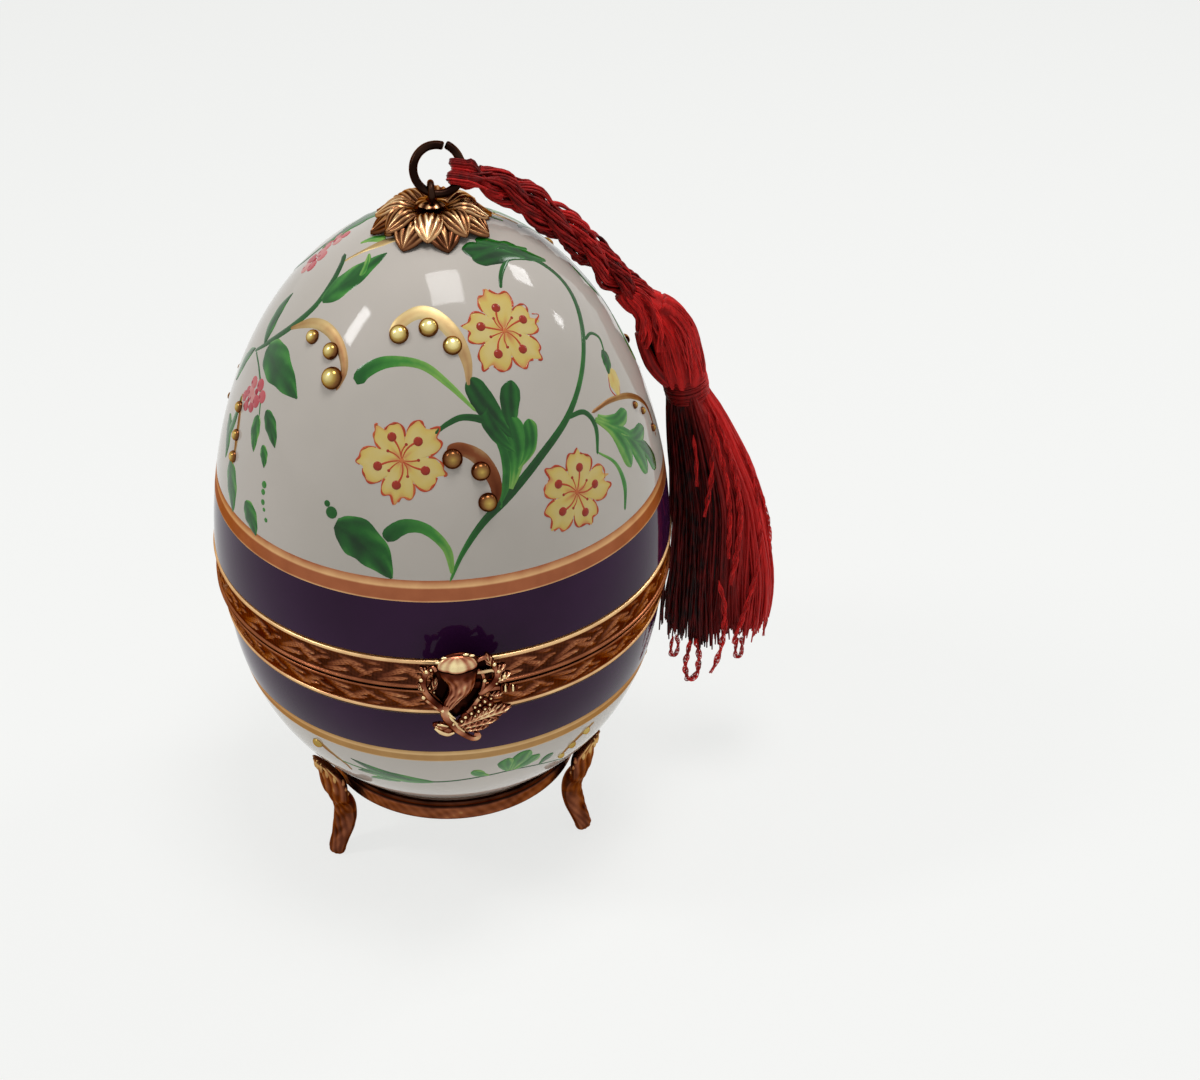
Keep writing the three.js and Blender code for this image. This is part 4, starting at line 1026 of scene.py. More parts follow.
def bead(shell, place, radius, height=0.75):
    """Rounded drop that stands on the glaze, its underside just below the surface."""
    place = shell.project(np.asarray(place, float))
    normal = shell.normal(place)
    side = unit(np.cross(normal, [0.13, 0.21, 1.0]))
    other = np.cross(normal, side)
    angles = circle(BEAD_SIDES)[:, None]
    outward = np.cos(angles) * side + np.sin(angles) * other
    rings = [place + normal * (radius * height * h) + radius * math.sqrt(max(1 - h ** 2, 0)) * outward
             for h in BEAD_RISE]
    points, faces = loft([rings[0] - normal * 0.15, *rings])
    points[-1] = place + normal * radius * height
    return points, faces


def gold_bead(shape, shell, azimuth, height, radius, tone=0.5):
    """Bead of raised gold, painted light on its crown as a highlight and browner where it meets the
    glaze, as painted shade.
    """
    lit = tone - 0.50 + 0.85 * np.concatenate([[0.0], BEAD_RISE]) ** 2
    shape.add(bead(shell, shell.at(azimuth, height), radius, 0.85),
              np.concatenate([np.repeat(lit, BEAD_SIDES), [tone - 0.50, tone + 0.38]]))


def gold_spray(gilt, drops, shell, pairs, beads, width=1.1, turn=0, tone=0.6, ends=0.5):
    """Gilded scroll that swells and tapers, with beads of raised gold along it."""
    widths = [width * ends, width * 0.85, width, width * 0.95, width * 0.7, width * 0.25]
    stroke(gilt, shell, pairs, widths, 0.10, (tone, tone + 0.15, tone - 0.05, tone - 0.15), turn, 48)
    for azimuth, height, radius in beads:
        gold_bead(drops, shell, azimuth + turn, height, radius, tone - 0.05 + 0.1 * random.random())


# The lid's stems: places as (azimuth, height), widths, shades and steps
LID_STEMS = (
    # The long stem climbs from the gilded band round to the crown
    ([(-3.2, 58.5), (0.2, 62.0), (5.6, 65.3), (13.4, 68.0), (23.8, 71.2), (36, 74.1), (47.3, 77.1),
      (58.5, 80.1), (67.6, 82.6), (72.0, 84.6), (71.0, 86.8), (63.4, 88.4)],
     [0.3, 0.8, 1.15, 1.15, 1.0, 0.8, 0.8, 0.9, 0.8, 0.7], (0.70, 0.15, 0.22, 0.5, 0.25, 0.3), 90),
    # Curls off the long stem
    ([(-2.4, 59.4), (-3.6, 62.6), (-8.2, 64.9), (-13.2, 65.3), (-17.0, 64.3), (-18.0, 63.3)],
     [0.5, 1.0, 1.25, 1.5, 2.0, 2.1], (0.95, 0.85, 0.55, 0.2), 40),
    ([(7.2, 77.2), (-0.9, 80.1), (-10.2, 81.9), (-22.6, 81.9), (-30.2, 80.6), (-31.6, 79.4)],
     [0.3, 0.7, 1.0, 1.2, 1.7, 1.9], (1.0, 0.95, 0.75, 0.3), 40),
    ([(10.0, 66.6), (11.5, 67.7), (12.9, 69.5), (13.6, 71.3), (13.2, 73.5), (10.5, 75.9), (3.5, 76.8),
      (-1.7, 76.3), (-5.8, 75.3)],
     [0.8, 1.0, 1.1, 1.15, 1.15, 1.0, 0.85, 0.7, 0.4], (0.60, 0.45, 0.2, 0.3), 60),
    ([(36.0, 74.0), (42.4, 73.6), (44.7, 71.5), (42.2, 68.6)], [0.6, 0.7, 0.75, 0.4],
     (0.35, 0.3, 0.5), 40),
    ([(32.9, 87.2), (37, 87.9), (43, 88.4), (52, 88.7)], [0.4, 0.6, 0.7, 0.5], (0.3, 0.4), 40),
    ([(58, 79.6), (63, 79.5), (66, 78.4), (63.8, 77.0)], [0.5, 0.4, 0.5, 0.3], (0.3, 0.45), 40),
    ([(42.5, 68.8), (47.9, 66.3), (49.4, 63.2), (47.4, 60.2)], [0.25, 0.5, 0.9, 0.4],
     (0.9, 0.75, 0.5), 40),
    # The left spray climbs to the crown, and a garland hangs from it
    ([(-85.6, 75.9), (-79, 78.2), (-70.8, 81.3), (-65.2, 84.2), (-66.4, 86.6), (-72.4, 88.0),
      (-79, 88.5)],
     [0.4, 0.8, 0.9, 0.95, 0.9, 0.9, 0.7], (0.4, 0.25, 0.35, 0.15), 50),
    ([(-84.0, 76.2), (-76, 75.6), (-69, 74.0), (-65.5, 71.8)], [0.3, 0.35, 0.35, 0.25], (0.3, 0.5), 40),
)
# Its lobes, grouped by where they are: start, end, width, bend, and the shades of root and end
MIDDLE_LOBES = (
    # Dark rounded lobes that run together over a pale root
    ((13.9, 68.6), (17.6, 76.2), 2.7, -0.08, (1.0, 0.35)),
    ((17.6, 73.6), (6.5, 80.5), 2.8, 0.05, (0.30, 0.0)),
    ((16.8, 72.4), (10.6, 77.6), 2.4, 0.10, (0.5, 0.12)),
    ((16.7, 73.8), (20.6, 79.5), 2.5, 0.04, (0.35, 0.08)),
    ((16.6, 70.6), (22.8, 75.4), 2.0, -0.14, (0.85, 0.35)),
    # Under the crown and along the right
    ((76, 86.6), (60, 89.8), 2.4, 0.1, (0.5, 0.1)),
    ((64, 88.0), (27, 89.6), 3.0, -0.06, (0.45, 0.0)),
    ((58, 89.6), (24, 90.4), 2.6, 0.10, (0.4, 0.05)),
    ((74, 88.2), (45, 90.6), 2.0, 0.1, (0.5, 0.2)),
    ((45.5, 72.2), (54, 64.4), 2.7, 0.14, (0.95, 0.55)),
    ((47, 72.4), (60.5, 70.2), 2.2, -0.16, (0.95, 0.5)),
    ((49, 71.0), (61.5, 61.6), 2.6, 0.10, (0.85, 0.45)),
    ((54, 68.8), (67, 66.4), 2.4, -0.12, (0.85, 0.4)),
    ((58, 67.0), (68, 60.4), 2.2, 0.08, (0.6, 0.2)),
)
LEFT_LOBES = (
    ((-80, 71.2), (-81, 66.0), 1.4, 0.1, (0.6, 0.4)),
    ((-60, 89.5), (-52, 88.0), 1.3, 0.1, (0.9, 0.7)),
    ((-78, 89.6), (-62, 90.6), 1.3, 0.1, (0.9, 0.7)),
)
# Its pointed leaves: start, end, width, bend, shades and bluntness
RIGHT_LEAVES = (
    ((63.4, 77.4), (59.8, 75.0), 1.9, 0.1, (0.1, 0.3), 0.75),
    # The dark leaf low on the left of the front, which two small buds follow
    ((-31.6, 64.4), (-16.9, 58.8), 5.2, 0.10, (0.0, 0.26), 0.66),
)
FRONT_BUDS = ((-33.1, 65.5, 0.75), (-34.6, 66.4, 0.40))
LEFT_LEAVES = (
    ((-63.4, 85.0), (-46.4, 90.0), 3.3, -0.04, (0.55, 0.30), 0.62),
    ((-81, 77.8), (-86, 83.2), 2.4, 0.1, (0.3, 0.2), 0.75),
    ((-77.0, 78.0), (-52.0, 76.0), 5.0, 0.02, (0.40, 0.20), 0.58),
    ((-92, 70.6), (-86, 76.2), 2.2, 0.1, (0.5, 0.3), 0.75),
    ((-63.0, 72.9), (-54.9, 69.9), 2.2, 0.05, (0.2, 0.2), 0.7),
    ((-66.0, 71.8), (-63.4, 67.8), 2.1, -0.05, (0.6, 0.5), 0.7),
    ((-60.0, 69.3), (-57.4, 67.0), 1.5, 0.05, (0.6, 0.4), 0.7),
)
# The garland dwindles to these dots
GARLAND_DOTS = (
    (-56.0, 65.2, 0.46), (-55.9, 64.3, 0.38), (-55.4, 63.1, 0.36), (-54.6, 62.3, 0.26),
    (-53.4, 61.2, 0.30),
)
LOW_LEFT_LEAVES = (
    ((-75, 63.9), (-68.4, 58.6), 3.3, 0.05, (0.5, 0.3), 0.7),
    ((-85, 67.6), (-79, 63.2), 2.4, 0.1, (0.4, 0.3), 0.7),
    ((-62.6, 61.6), (-56.6, 58.4), 2.8, 0.05, (0.5, 0.3), 0.7),
)
# Flowers: place, radius and turn
FLOWERS = (((24.6, 83.9), 5.9, 84), ((-14.9, 72.5), 5.9, 48), ((32.3, 65.8), 5.9, 68))
# Gilded scrolls: places, beads as (azimuth, height, radius), width, tone and the width of their start
SCROLLS = (
    ([(-21.6, 84.0), (-19.6, 85.4), (-11.1, 86.3), (-1.8, 85.6), (4.4, 83.9), (6.6, 81.8), (5.9, 79.6)],
     [(-19.6, 84.4, 1.15), (-7.4, 85.1, 1.15), (2.0, 83.5, 1.12)], 1.9, 0.66, 0.9),
    ([(-2.4, 73.2), (1.6, 73.6), (6.2, 72.6), (9.2, 70.6), (10.0, 68.6), (8.4, 66.6)],
     [(-1.0, 72.7, 1.2), (6.4, 71.1, 1.15), (7.4, 67.6, 1.15)], 1.9, 0.22, 1.1),
    ([(-70.5, 81.2), (-60.6, 83.0), (-50.6, 83.2), (-41.8, 82.1), (-37.6, 80.3), (-38.4, 78.3)],
     [(-56.4, 82.0, 0.9), (-45.5, 81.6, 1.05), (-41.2, 79.3, 1.35)], 1.5, 0.55, 0.25),
    ([(45, 73.1), (55.6, 72.7), (67.3, 70.6), (75.6, 67.0), (75.6, 62.6)],
     [(66.5, 69.6, 0.5), (70.5, 67.8, 0.5), (74.2, 64.4, 0.55)], 0.8, 0.4, 0.5),
)


def paint_lid(turn, objects):
    stems, leaves, fills, lines, gilt, drops, pinks = objects

    def spot(azimuth, height, size, rise):
        return bead(lid, lid.at(azimuth + turn, height), size, rise)

    for pairs, widths, shade, steps in LID_STEMS:
        stroke(stems, lid, pairs, widths, 0.06, shade, turn, steps)
    for start, end, width, bend, shade in MIDDLE_LOBES:
        lobe(leaves, lid, start, end, width, bend, shade, turn)
    for start, end, width, bend, shade, blunt in RIGHT_LEAVES:
        leaf(leaves, lid, start, end, width, bend, 0.08, shade, turn, blunt)
    for place in FRONT_BUDS:
        leaves.add(spot(*place, 0.14), 0.35)
    for start, end, width, bend, shade, blunt in LEFT_LEAVES:
        leaf(leaves, lid, start, end, width, bend, 0.08, shade, turn, blunt)
    for place in GARLAND_DOTS:
        leaves.add(spot(*place, 0.16), 0.65)
    for start, end, width, bend, shade, blunt in LOW_LEFT_LEAVES:
        leaf(leaves, lid, start, end, width, bend, 0.08, shade, turn, blunt)
    for start, end, width, bend, shade in LEFT_LOBES:
        lobe(leaves, lid, start, end, width, bend, shade, turn)
    for place, radius, angle in FLOWERS:
        flower(fills, lines, lid, place, radius, angle, turn)
    # A small bud on the right, with its outline
    leaf(fills, lid, (61.5, 75.4), (59.8, 72.2), 2.6, 0.05, 0.06, (0.6, 0.9), turn)
    stroke(lines, lid, [(59.3, 75.0), (57.2, 73.6), (59.8, 72.1), (62.8, 73.6), (62.6, 75.2)],
           [0.14, 0.2, 0.26, 0.2, 0.14], 0.08, (0.4, 0.4), turn, 30)
    for pairs, beads, width, tone, ends in SCROLLS:
        gold_spray(gilt, drops, lid, pairs, beads, width, turn, tone, ends)
    stroke(gilt, lid, [(-80, 71.6), (-76, 69.0), (-73.6, 66.2), (-73, 63.8)], [0.3, 0.8, 0.9, 0.3],
           0.08, (0.5,), turn)
    for azimuth, height in ((-78.3, 70.2), (-74.6, 67.4), (-73.2, 64.9)):
        gold_bead(drops, lid, azimuth + turn, height, 0.75, 0.55)
    stroke(gilt, lid, [(-42, 91.0), (-56, 90.6), (-66, 89.6), (-72, 88.2)], [0.5, 1.2, 0.5, 0.3],
           0.08, (0.7,), turn)
    gold_bead(drops, lid, -66 + turn, 90.9, 0.7, 0.6)
    # Small pink blossoms; the crown's pair isn't repeated where the long stem ends
    blossoms = [(-71.5, 73.6, 0.95), (-74.5, 72.0, 0.8)]
    if turn == 0:
        blossoms += [(-97, 85.9, 1.0), (-104, 87.8, 0.85)]
    for azimuth, height, size in blossoms:
        for k in range(5):
            angle = 2 * math.pi * k / 5 + azimuth
            x, z = azimuth + 4.2 * size * math.cos(angle), height + 1.0 * size * math.sin(angle)
            pinks.add(spot(x, z, 0.85 * size, 0.10), 0.15 + 0.7 * random.random())
            pinks.add(bead(lid, lid.at(x + turn - 1, z - 0.2), 0.35 * size, 0.28), 0.0)
        pinks.add(spot(azimuth, height, 0.42 * size, 0.28), 0.0)


# The base's leaves (start, end, width, bend, height of relief and shades), lobes, scrolls and beads
BASE_LEAVES = (
    ((-10, 24.2), (-33.5, 27.2), 2.3, 0.05, 0.07, (0.8, 0.1)),
    ((-13, 23.9), (-33, 24.4), 2.5, -0.10, 0.07, (0.85, 0.5)),
    ((-20, 23.6), (-30, 22.8), 1.5, -0.12, 0.06, (0.8, 0.6)),
)
BASE_LOBES = (
    ((6, 25.1), (1.5, 27.0), 1.7, 0.1, (0.8, 0.6)),
    ((11.5, 25.4), (11.0, 28.6), 2.6, 0.05, (0.8, 0.55)),
    ((12.5, 25.4), (17.0, 29.2), 2.9, 0.05, (0.85, 0.5)),
    ((13.5, 25.3), (20.5, 27.4), 2.2, -0.05, (0.8, 0.55)),
    ((22, 24.4), (25.5, 26.2), 1.7, 0.05, (0.4, 0.3)),
)
BASE_SCROLLS = (
    ([(39, 28.6), (35, 27.4), (31.5, 25.6), (29.5, 23.6)], [0.5, 1.0, 0.8, 0.4]),
    ([(-44, 28.6), (-41, 27.0), (-37, 25.0), (-36, 23.4)], [1.2, 0.9, 0.4, 0.3]),
)
BASE_BEADS = ((36.5, 27.6, 0.6), (32.5, 25.8, 0.6), (30, 24.0, 0.5), (-44, 27.9, 0.75))


def paint_base(turn, objects):
    leaves, gilt, drops = objects
    stroke(leaves, base, [(-40, 25.6), (-26, 24.9), (-18, 24.2), (-8, 24.3), (4, 25.0), (15, 25.1),
                          (27, 23.4), (34, 21.6)],
           [0.3, 0.5, 0.55, 0.45, 0.4, 0.36, 0.35, 0.2], 0.05, (0.6, 0.2, 0.3), turn, 70)
    for row in BASE_LEAVES:
        leaf(leaves, base, *row, turn)
    for row in BASE_LOBES:
        lobe(leaves, base, *row, turn)
    for pairs, widths in BASE_SCROLLS:
        stroke(gilt, base, pairs, widths, 0.09, (0.5,), turn)
    for azimuth, height, size in BASE_BEADS:
        drops.add(bead(base, base.at(azimuth + turn, height), size), 0.6)


# The painting's meshes, each in one finish
LID_PAINTING = (("painted_stems", green), ("painted_leaves", green), ("flower_petals", yellow),
                ("flower_lines", red_line), ("gilded_scrolls", scroll_gold), ("gold_beads", raised_gold),
                ("pink_blossoms", pink))
BASE_PAINTING = (("base_leaves", green), ("base_scrolls", scroll_gold), ("base_beads", raised_gold))


def add_painting():
    """The lid's painting stands on its two sides, and the base's three times round it."""
    for body, paint, meshes, turns in (("lid", paint_lid, LID_PAINTING, (0, 180)),
                                       ("base", paint_base, BASE_PAINTING, (0, 120, 240))):
        objects = [Shape() for _ in meshes]
        for turn in turns:
            paint(turn, objects)
        for shape, (name, finish) in zip(objects, meshes):
            shape.build(name, body, [finish], sharp=60)


add_painting()


# Bezels: a band of engraved leafage between a fine lip and a bright bead
BAND_REPEATS = 26
BAND_SUNK = 0.22
# Each leaf of a spray: start along the band, start height and rise as shares of half the band, length,
# width and relief
LEAVES = [
    (0.0, -0.75, 0.55, 3.6, 0.42, 1.0), (0.5, -0.35, 0.95, 3.2, 0.40, 0.9),
    (1.5, 0.05, 0.75, 2.6, 0.34, 1.0), (2.2, 0.75, -0.75, 3.3, 0.40, 0.95),
    (3.2, 0.35, -0.95, 2.8, 0.36, 1.0), (4.0, -0.1, -0.6, 2.5, 0.32, 0.85),
    (4.6, -0.85, 1.3, 2.2, 0.34, 0.9), (5.2, 0.85, -0.35, 2.4, 0.30, 0.8),
    (6.0, 0.0, 0.35, 1.9, 0.30, 0.95),
]


def leafage(x, y, repeat, half):
    """Relief from 0 to 1 of a running spray of leaves, at a distance x along the band and a height y."""
    cell = np.floor(x / repeat)
    x = x - cell * repeat
    relief = np.zeros(np.broadcast(x, y).shape)
    wander = 0.5 + 0.5 * np.sin(cell * 2.4 + 0.7)
    for shift in (-1, 0, 1):
        vary = 0.5 + 0.5 * np.sin((cell - shift) * 2.4 + 0.7)
        for x0, y0, slope, length, width, height in LEAVES:
            rise = slope * (0.85 + 0.3 * vary)
            along = (x + shift * repeat - x0) / (length * (0.9 + 0.2 * vary))
            t = np.clip(along, 0, 1)
            middle = half * (y0 + rise * t - 0.35 * rise * t * t)
            breadth = width * (0.25 + 0.75 * np.sin(math.pi * np.clip(0.12 + 0.85 * t, 0, 1)))
            away = np.hypot((along - t) * length, y - middle) / breadth
            body = height * (0.45 + 0.55 * t) * np.sqrt(np.clip(1 - away ** 2, 0, 1))
            vein = 1 - 0.55 * np.exp(-((y - middle) / 0.06) ** 2)
            notch = 1 - 0.35 * np.clip(np.sin(9 * along * length + 14 * np.abs(y - middle)), 0, 1) * away
            relief = np.maximum(relief, body * vein * notch)
    ripple = 0.5 + 0.5 * np.sin(9 * x + 5 * y + 3 * wander) * np.sin(4.3 * x - 6 * y)
    return np.maximum(relief, 0.16 * ripple)


def band(far_radius, height, direction, start):
    """Rows of a bezel's outside, from its edge at the seam outwards: fine lip, engraved band, bead."""
    lip, rim = 0.32, 0.55
    rows = [(BEZEL - 0.16 + 0.16 * math.cos(a), 0.01 + lip / 2 + lip / 2 * math.sin(a), 0)
            for a in np.linspace(-math.pi / 2, math.pi / 2, 7)]
    low, high = lip + 0.05, height - rim - 0.05
    for share in np.linspace(0, 1, 25):
        drop = low + (high - low) * share
        radius = BEZEL + (far_radius - BEZEL) * drop / height - BAND_SUNK
        rows.append((radius, drop, 1 if 0 < share < 1 else 0))
    rows += [(far_radius - 0.26 + 0.26 * math.cos(a), height - 0.01 - rim / 2 + rim / 2 * math.sin(a), 0)
             for a in np.linspace(-math.pi / 2, math.pi / 2, 9)]
    inside = BEZEL - 3.2
    rows += [(far_radius - REBATE, height, 0), (BEZEL - REBATE, 0.75, 0), (inside, 0.7, 0),
             (inside, 0.0, 0)]
    rows = np.array(rows)
    rows[:, 1] = start + direction * rows[:, 1]
    return rows


def add_bezel(name, node, body, far_radius, height, direction, start):
    rows = band(far_radius, height, direction, start)
    segments = 2000
    along = np.linspace(0, 2 * math.pi * BEZEL, segments, endpoint=False)[None, :]
    engraved = rows[:, 2] > 0
    middle = start + direction * (height - 0.2) / 2
    relief = np.zeros((len(rows), segments))
    repeat = 2 * math.pi * BEZEL / BAND_REPEATS
    relief[engraved] = leafage(along, (rows[engraved, 1] - middle)[:, None] * direction, repeat,
                               height / 2 - 0.5)
    depth = np.where(engraved[:, None], relief * 0.27 - 0.05, 0)
    # Tarnish and painted shade in the hollows of the engraving, painted highlights on its raised leaves
    lit = np.where(engraved[:, None], 0.14 + 0.90 * relief ** 1.2, 0.55)
    bright = (rows[:, 0] > BEZEL - 0.9) & ~engraved & (np.abs(rows[:, 1] - start) > height - 0.6)
    lit[bright] = 0.95
    shape = Shape().add(lathe(rows[:, :2], segments, depth), lit.ravel())
    shape.build(name, body, [bezel_gilt], "bezel_gilt", 50, [node])


add_bezel("upper_bezel_engraved", "upper_bezel", "lid", BEZEL, UPPER_RIM - UPPER_EDGE, 1, UPPER_EDGE)
add_bezel("lower_bezel_engraved", "lower_bezel", "base", LOWER_BEZEL, LOWER_EDGE - LOWER_RIM, -1,
          LOWER_EDGE)


# Stand: the ring and its three feet

def add_ring():
    top = float(base.radius(RING_TOP)) + GAP + 0.7
    bore = top - 3.2
    fillet = (RING_TOP - RING_LOW) / 3
    seat_radii = np.linspace(top - 0.7, bore, 14)
    seat = np.stack([seat_radii, base.height(seat_radii, -GAP)], -1)
    # Runs of the outline's rows: the wall, the groove over it and the rounded edge
    wall, groove, edge = slice(3, 12), slice(12, 14), slice(14, 17)
    outside = [(bore, RING_LOW), (top - 0.75, RING_LOW), (top - 0.6, RING_LOW + 0.12)]
    outside += [(top - 0.6 + 0.35 * s, RING_LOW + 0.12 + (RING_TOP - fillet - RING_LOW - 0.3) * s)
                for s in np.linspace(0.1, 1, 9)]
    outside += [(top - 0.42, RING_TOP - fillet), (top - 0.5, RING_TOP - fillet + 0.12),
                (top - 0.12, RING_TOP - fillet / 2), (top, RING_TOP - 0.2), (top - 0.08, RING_TOP)]
    outline = np.vstack([outside, seat])
    segments = 720
    angle = circle(segments)[None, :]
    banded = np.zeros(len(outline))
    banded[wall] = np.sin(np.linspace(0.3, math.pi - 0.3, 9))
    hammered = np.sin(47 * angle + 1.3 * np.sin(11 * angle)) * np.sin(29 * angle + outline[:, 1:] * 3)
    lit = np.full((len(outline), segments), 0.30)
    lit[wall] = 0.56 + 0.12 * hammered[wall]
    # Painted shade: the groove black and the rounded top edge dark, under the porcelain's rim
    lit[groove] = 0.0
    lit[edge] = 0.12
    ring = Shape().add(lathe(outline, segments, 0.045 * hammered * banded[:, None]), lit.ravel())
    ring.build("stand_ring_chased", "base", [stand_gilt], "stand_gilt", 45, ["stand_ring"])


# Level sections of a foot: height, inner face, outer face and width
FOOT_ROWS = [
    (0.0, 19.1, 20.9, 2.2), (0.35, 18.95, 21.1, 2.5), (0.9, 18.8, 21.15, 2.65), (2.1, 18.3, 20.7, 2.9),
    (3.4, 17.8, 20.2, 3.4), (4.8, 17.3, 19.9, 3.8), (6.4, 17.0, 19.65, 4.0), (8.2, 17.1, 19.8, 4.5),
    (9.6, 17.6, 20.3, 5.0), (10.6, 18.65, 20.7, 5.5), (12.0, 18.65, 21.0, 6.0), (13.6, 18.75, 21.1, 6.1),
    (15.0, 19.5, 21.3, 5.9), (16.2, 20.4, 21.75, 5.2), (17.1, 21.2, 22.05, 3.6),
]


def foot_shape(turn):
    foot = Shape()
    rows = np.array(FOOT_ROWS)
    heights = np.linspace(0, rows[-1, 0], 110)
    curve = smooth(rows, 260)
    inner, outer, width = (np.interp(heights, curve[:, 0], curve[:, i]) for i in (1, 2, 3))
    angles = circle(96)
    rings, lit = [], []
    front = np.clip(np.sin(angles), 0, 1)
    side = np.clip(np.abs(np.cos(angles)) - 0.6, 0, 1)
    for z, near, far, wide in zip(heights, inner, outer, width):
        leafy = float(np.interp(z, [6.0, 10.0, 15], [0.0, 0.6, 1]))
        lower = float(np.interp(z, [1, 3, 9, 12], [0, 1, 1, 0.3]))
        stepped = float(np.interp(z, [3, 5, 11, 13], [0, 1, 1, 0]))
        top = float(np.interp(z, [12, 14.5, 16.5], [0, 0.12, 0.30]))
        fan = (angles - math.pi / 2) * (1 + 0.05 * (17 - z))
        ribs = np.cos(9 * fan + 0.4 * math.sin(1.4 * z)) * leafy * front ** 0.4
        folds = np.cos(4 * fan + 0.9 * z) * np.cos(1.7 * z + 2 * fan) * (1 - leafy) * front ** 0.4
        cross = np.sin(2.6 * z + 2.2 * np.cos(2 * fan)) * front * lower
        steps = 0.42 * side * abs(math.sin(z * 1.25)) * stepped
        relief = 0.15 * ribs + 0.10 * folds + 0.06 * cross
        x = (wide / 2 + 0.3 * relief + steps) * np.cos(angles)
        y = np.maximum((near + far) / 2 + ((far - near) / 2 + relief) * np.sin(angles), near)
        rings.append(np.stack([x, y, np.full(len(angles), z)], -1))
        # Painted light and shade: lighter towards the leaf's top and on its raised ribs, folds and
        # bands, darker on its inner face towards the ring
        lit.append(0.44 + top + 0.24 * ribs + 0.20 * folds + 0.12 * cross
                   - 0.28 * (front < 0.05) + 0.10 * side)
    foot.add(loft(rings), np.clip(np.concatenate(lit), 0, 1))
    # Ribs along the leaf's upper edge, and beads down its two sides, both painted bright as highlights
    for share in np.linspace(-1, 1, 6):
        x, z = 2.30 * share, 16.75 - 1.15 * abs(share) ** 1.6
        y = float(np.interp(z, rows[:, 0], rows[:, 2])) - 0.50 * abs(share) ** 2.5
        foot.add(ball((x, y - 0.12, z - 0.30), 0.50, 14, (0.58, 0.60, 1.7)), 0.88)
    for hand in (-1, 1):
        for x, y, z, radius in ((2.75, 20.0, 14.4, 0.46), (2.8, 19.75, 13.2, 0.40),
                                (2.5, 19.3, 11.9, 0.36)):
            foot.add(ball((hand * x, y, z), radius, 14, (0.8, 0.8, 1.3)), 0.80)
    foot.points = [turned(points, turn) for points in foot.points]
    return foot


def add_stand():
    add_ring()
    for i, name in enumerate(("foot_rear", "foot_left", "foot_right")):
        foot = foot_shape(math.radians(120 * i))
        foot.build(name + "_cast", "base", [stand_gilt], "stand_gilt", 55, [name])


add_stand()


# Hinge at the back and the clasp's fittings at the front
HINGE_RADIUS = 1.58
HINGE_BORE = 0.75
HINGE_CENTRE = (BEZEL + GAP + HINGE_RADIUS, SEAM)
CLASP_BARREL = 0.75
CLASP_BORE = 0.5
CLASP_Y = -(BEZEL + GAP + CLASP_BARREL)
CLASP_Z = SEAM + 2.9


def gilt_fitting(shape, name, body, node):
    shape.build(name, body, [bezel_gilt], "bezel_gilt", 40, [node])


def add_hinge():
    for name, node, body, side in (("hinge_left", "hinge_knuckle_left", "base", -1),
                                   ("hinge_centre", "hinge_knuckle_centre", "lid", 1),
                                   ("hinge_right", "hinge_knuckle_right", "base", -1)):
        low, high = corners(node)
        part = Shape().add(round_bar(HINGE_RADIUS, HINGE_BORE, low[0], high[0], HINGE_CENTRE), 0.6)
        near, far = (SEAM + 1.0, high[2]) if side > 0 else (low[2], SEAM - 1.0)
        part.add(block((low[0], BEZEL + GAP, near), (high[0], BEZEL + GAP + 0.8, far)), 0.5)
        # Rivet heads on the leaf
        z = near + (far - near) * (0.62 if side > 0 else 0.38)
        for x in (low[0] + 0.9, high[0] - 0.9):
            part.add(ball((x, BEZEL + GAP + 0.8, z), 0.42, 12, (1, 0.5, 1)), 0.95)
        gilt_fitting(part, name, body, node)
    low, high = corners("hinge_pin")
    pin = Shape().add(round_bar(0.6, 0.0, low[0], high[0], HINGE_CENTRE), 0.7)
    gilt_fitting(pin, "hinge_pin_turned", "base", "hinge_pin")


def add_clasp_fittings():
    for node in ("clasp_lug_left", "clasp_lug_right"):
        low, high = corners(node)
        barrel = round_bar(CLASP_BARREL, CLASP_BORE, low[0], high[0], (CLASP_Y, CLASP_Z), 0.1)
        # The lugs are painted dark, as the shade behind the sprig
        lug = Shape().add(barrel, 0.18)
        lug.add(block((low[0], -BEZEL - GAP - 0.7, CLASP_Z - 1.3),
                      (high[0], -BEZEL - GAP + 0.02, CLASP_Z + 0.7), 0.1), 0.14)
        gilt_fitting(lug, node + "_filed", "lid", node)
    low, high = corners("clasp_pin")
    pin = Shape().add(round_bar(0.35, 0.0, low[0], high[0], (CLASP_Y, CLASP_Z), 0.08, 24), 0.3)
    gilt_fitting(pin, "clasp_pin_turned", "lid", "clasp_pin")
    low, high = corners("catch_stud")
    reach = high[1] - low[1]
    rows = [(0.0, 0.0), (0.9, 0.0), (0.9, reach * 0.4), (0.78, reach * 0.7), (0.5, reach * 0.93),
            (0.0, reach)]
    points, faces = lathe(rows, 32)
    points = np.stack([points[:, 0], high[1] - points[:, 2], points[:, 1] + (low[2] + high[2]) / 2], -1)
    stud = Shape().add((points, faces), 0.25)
    gilt_fitting(stud, "catch_stud_domed", "base", "catch_stud")


add_hinge()
add_clasp_fittings()


# Clasp: one openwork casting of a lily, curling stems, berries, a leaf and a bud
SPRIG_Y = corners("clasp_sprig")[0][1] + 0.68
STEM_SIDES = 14


def sprig_line(points, count):
    """Smooth line through (across, above the seam, outward) places of the sprig."""
    return smooth([(x, SPRIG_Y - out, SEAM + z) for x, z, out in points], count)


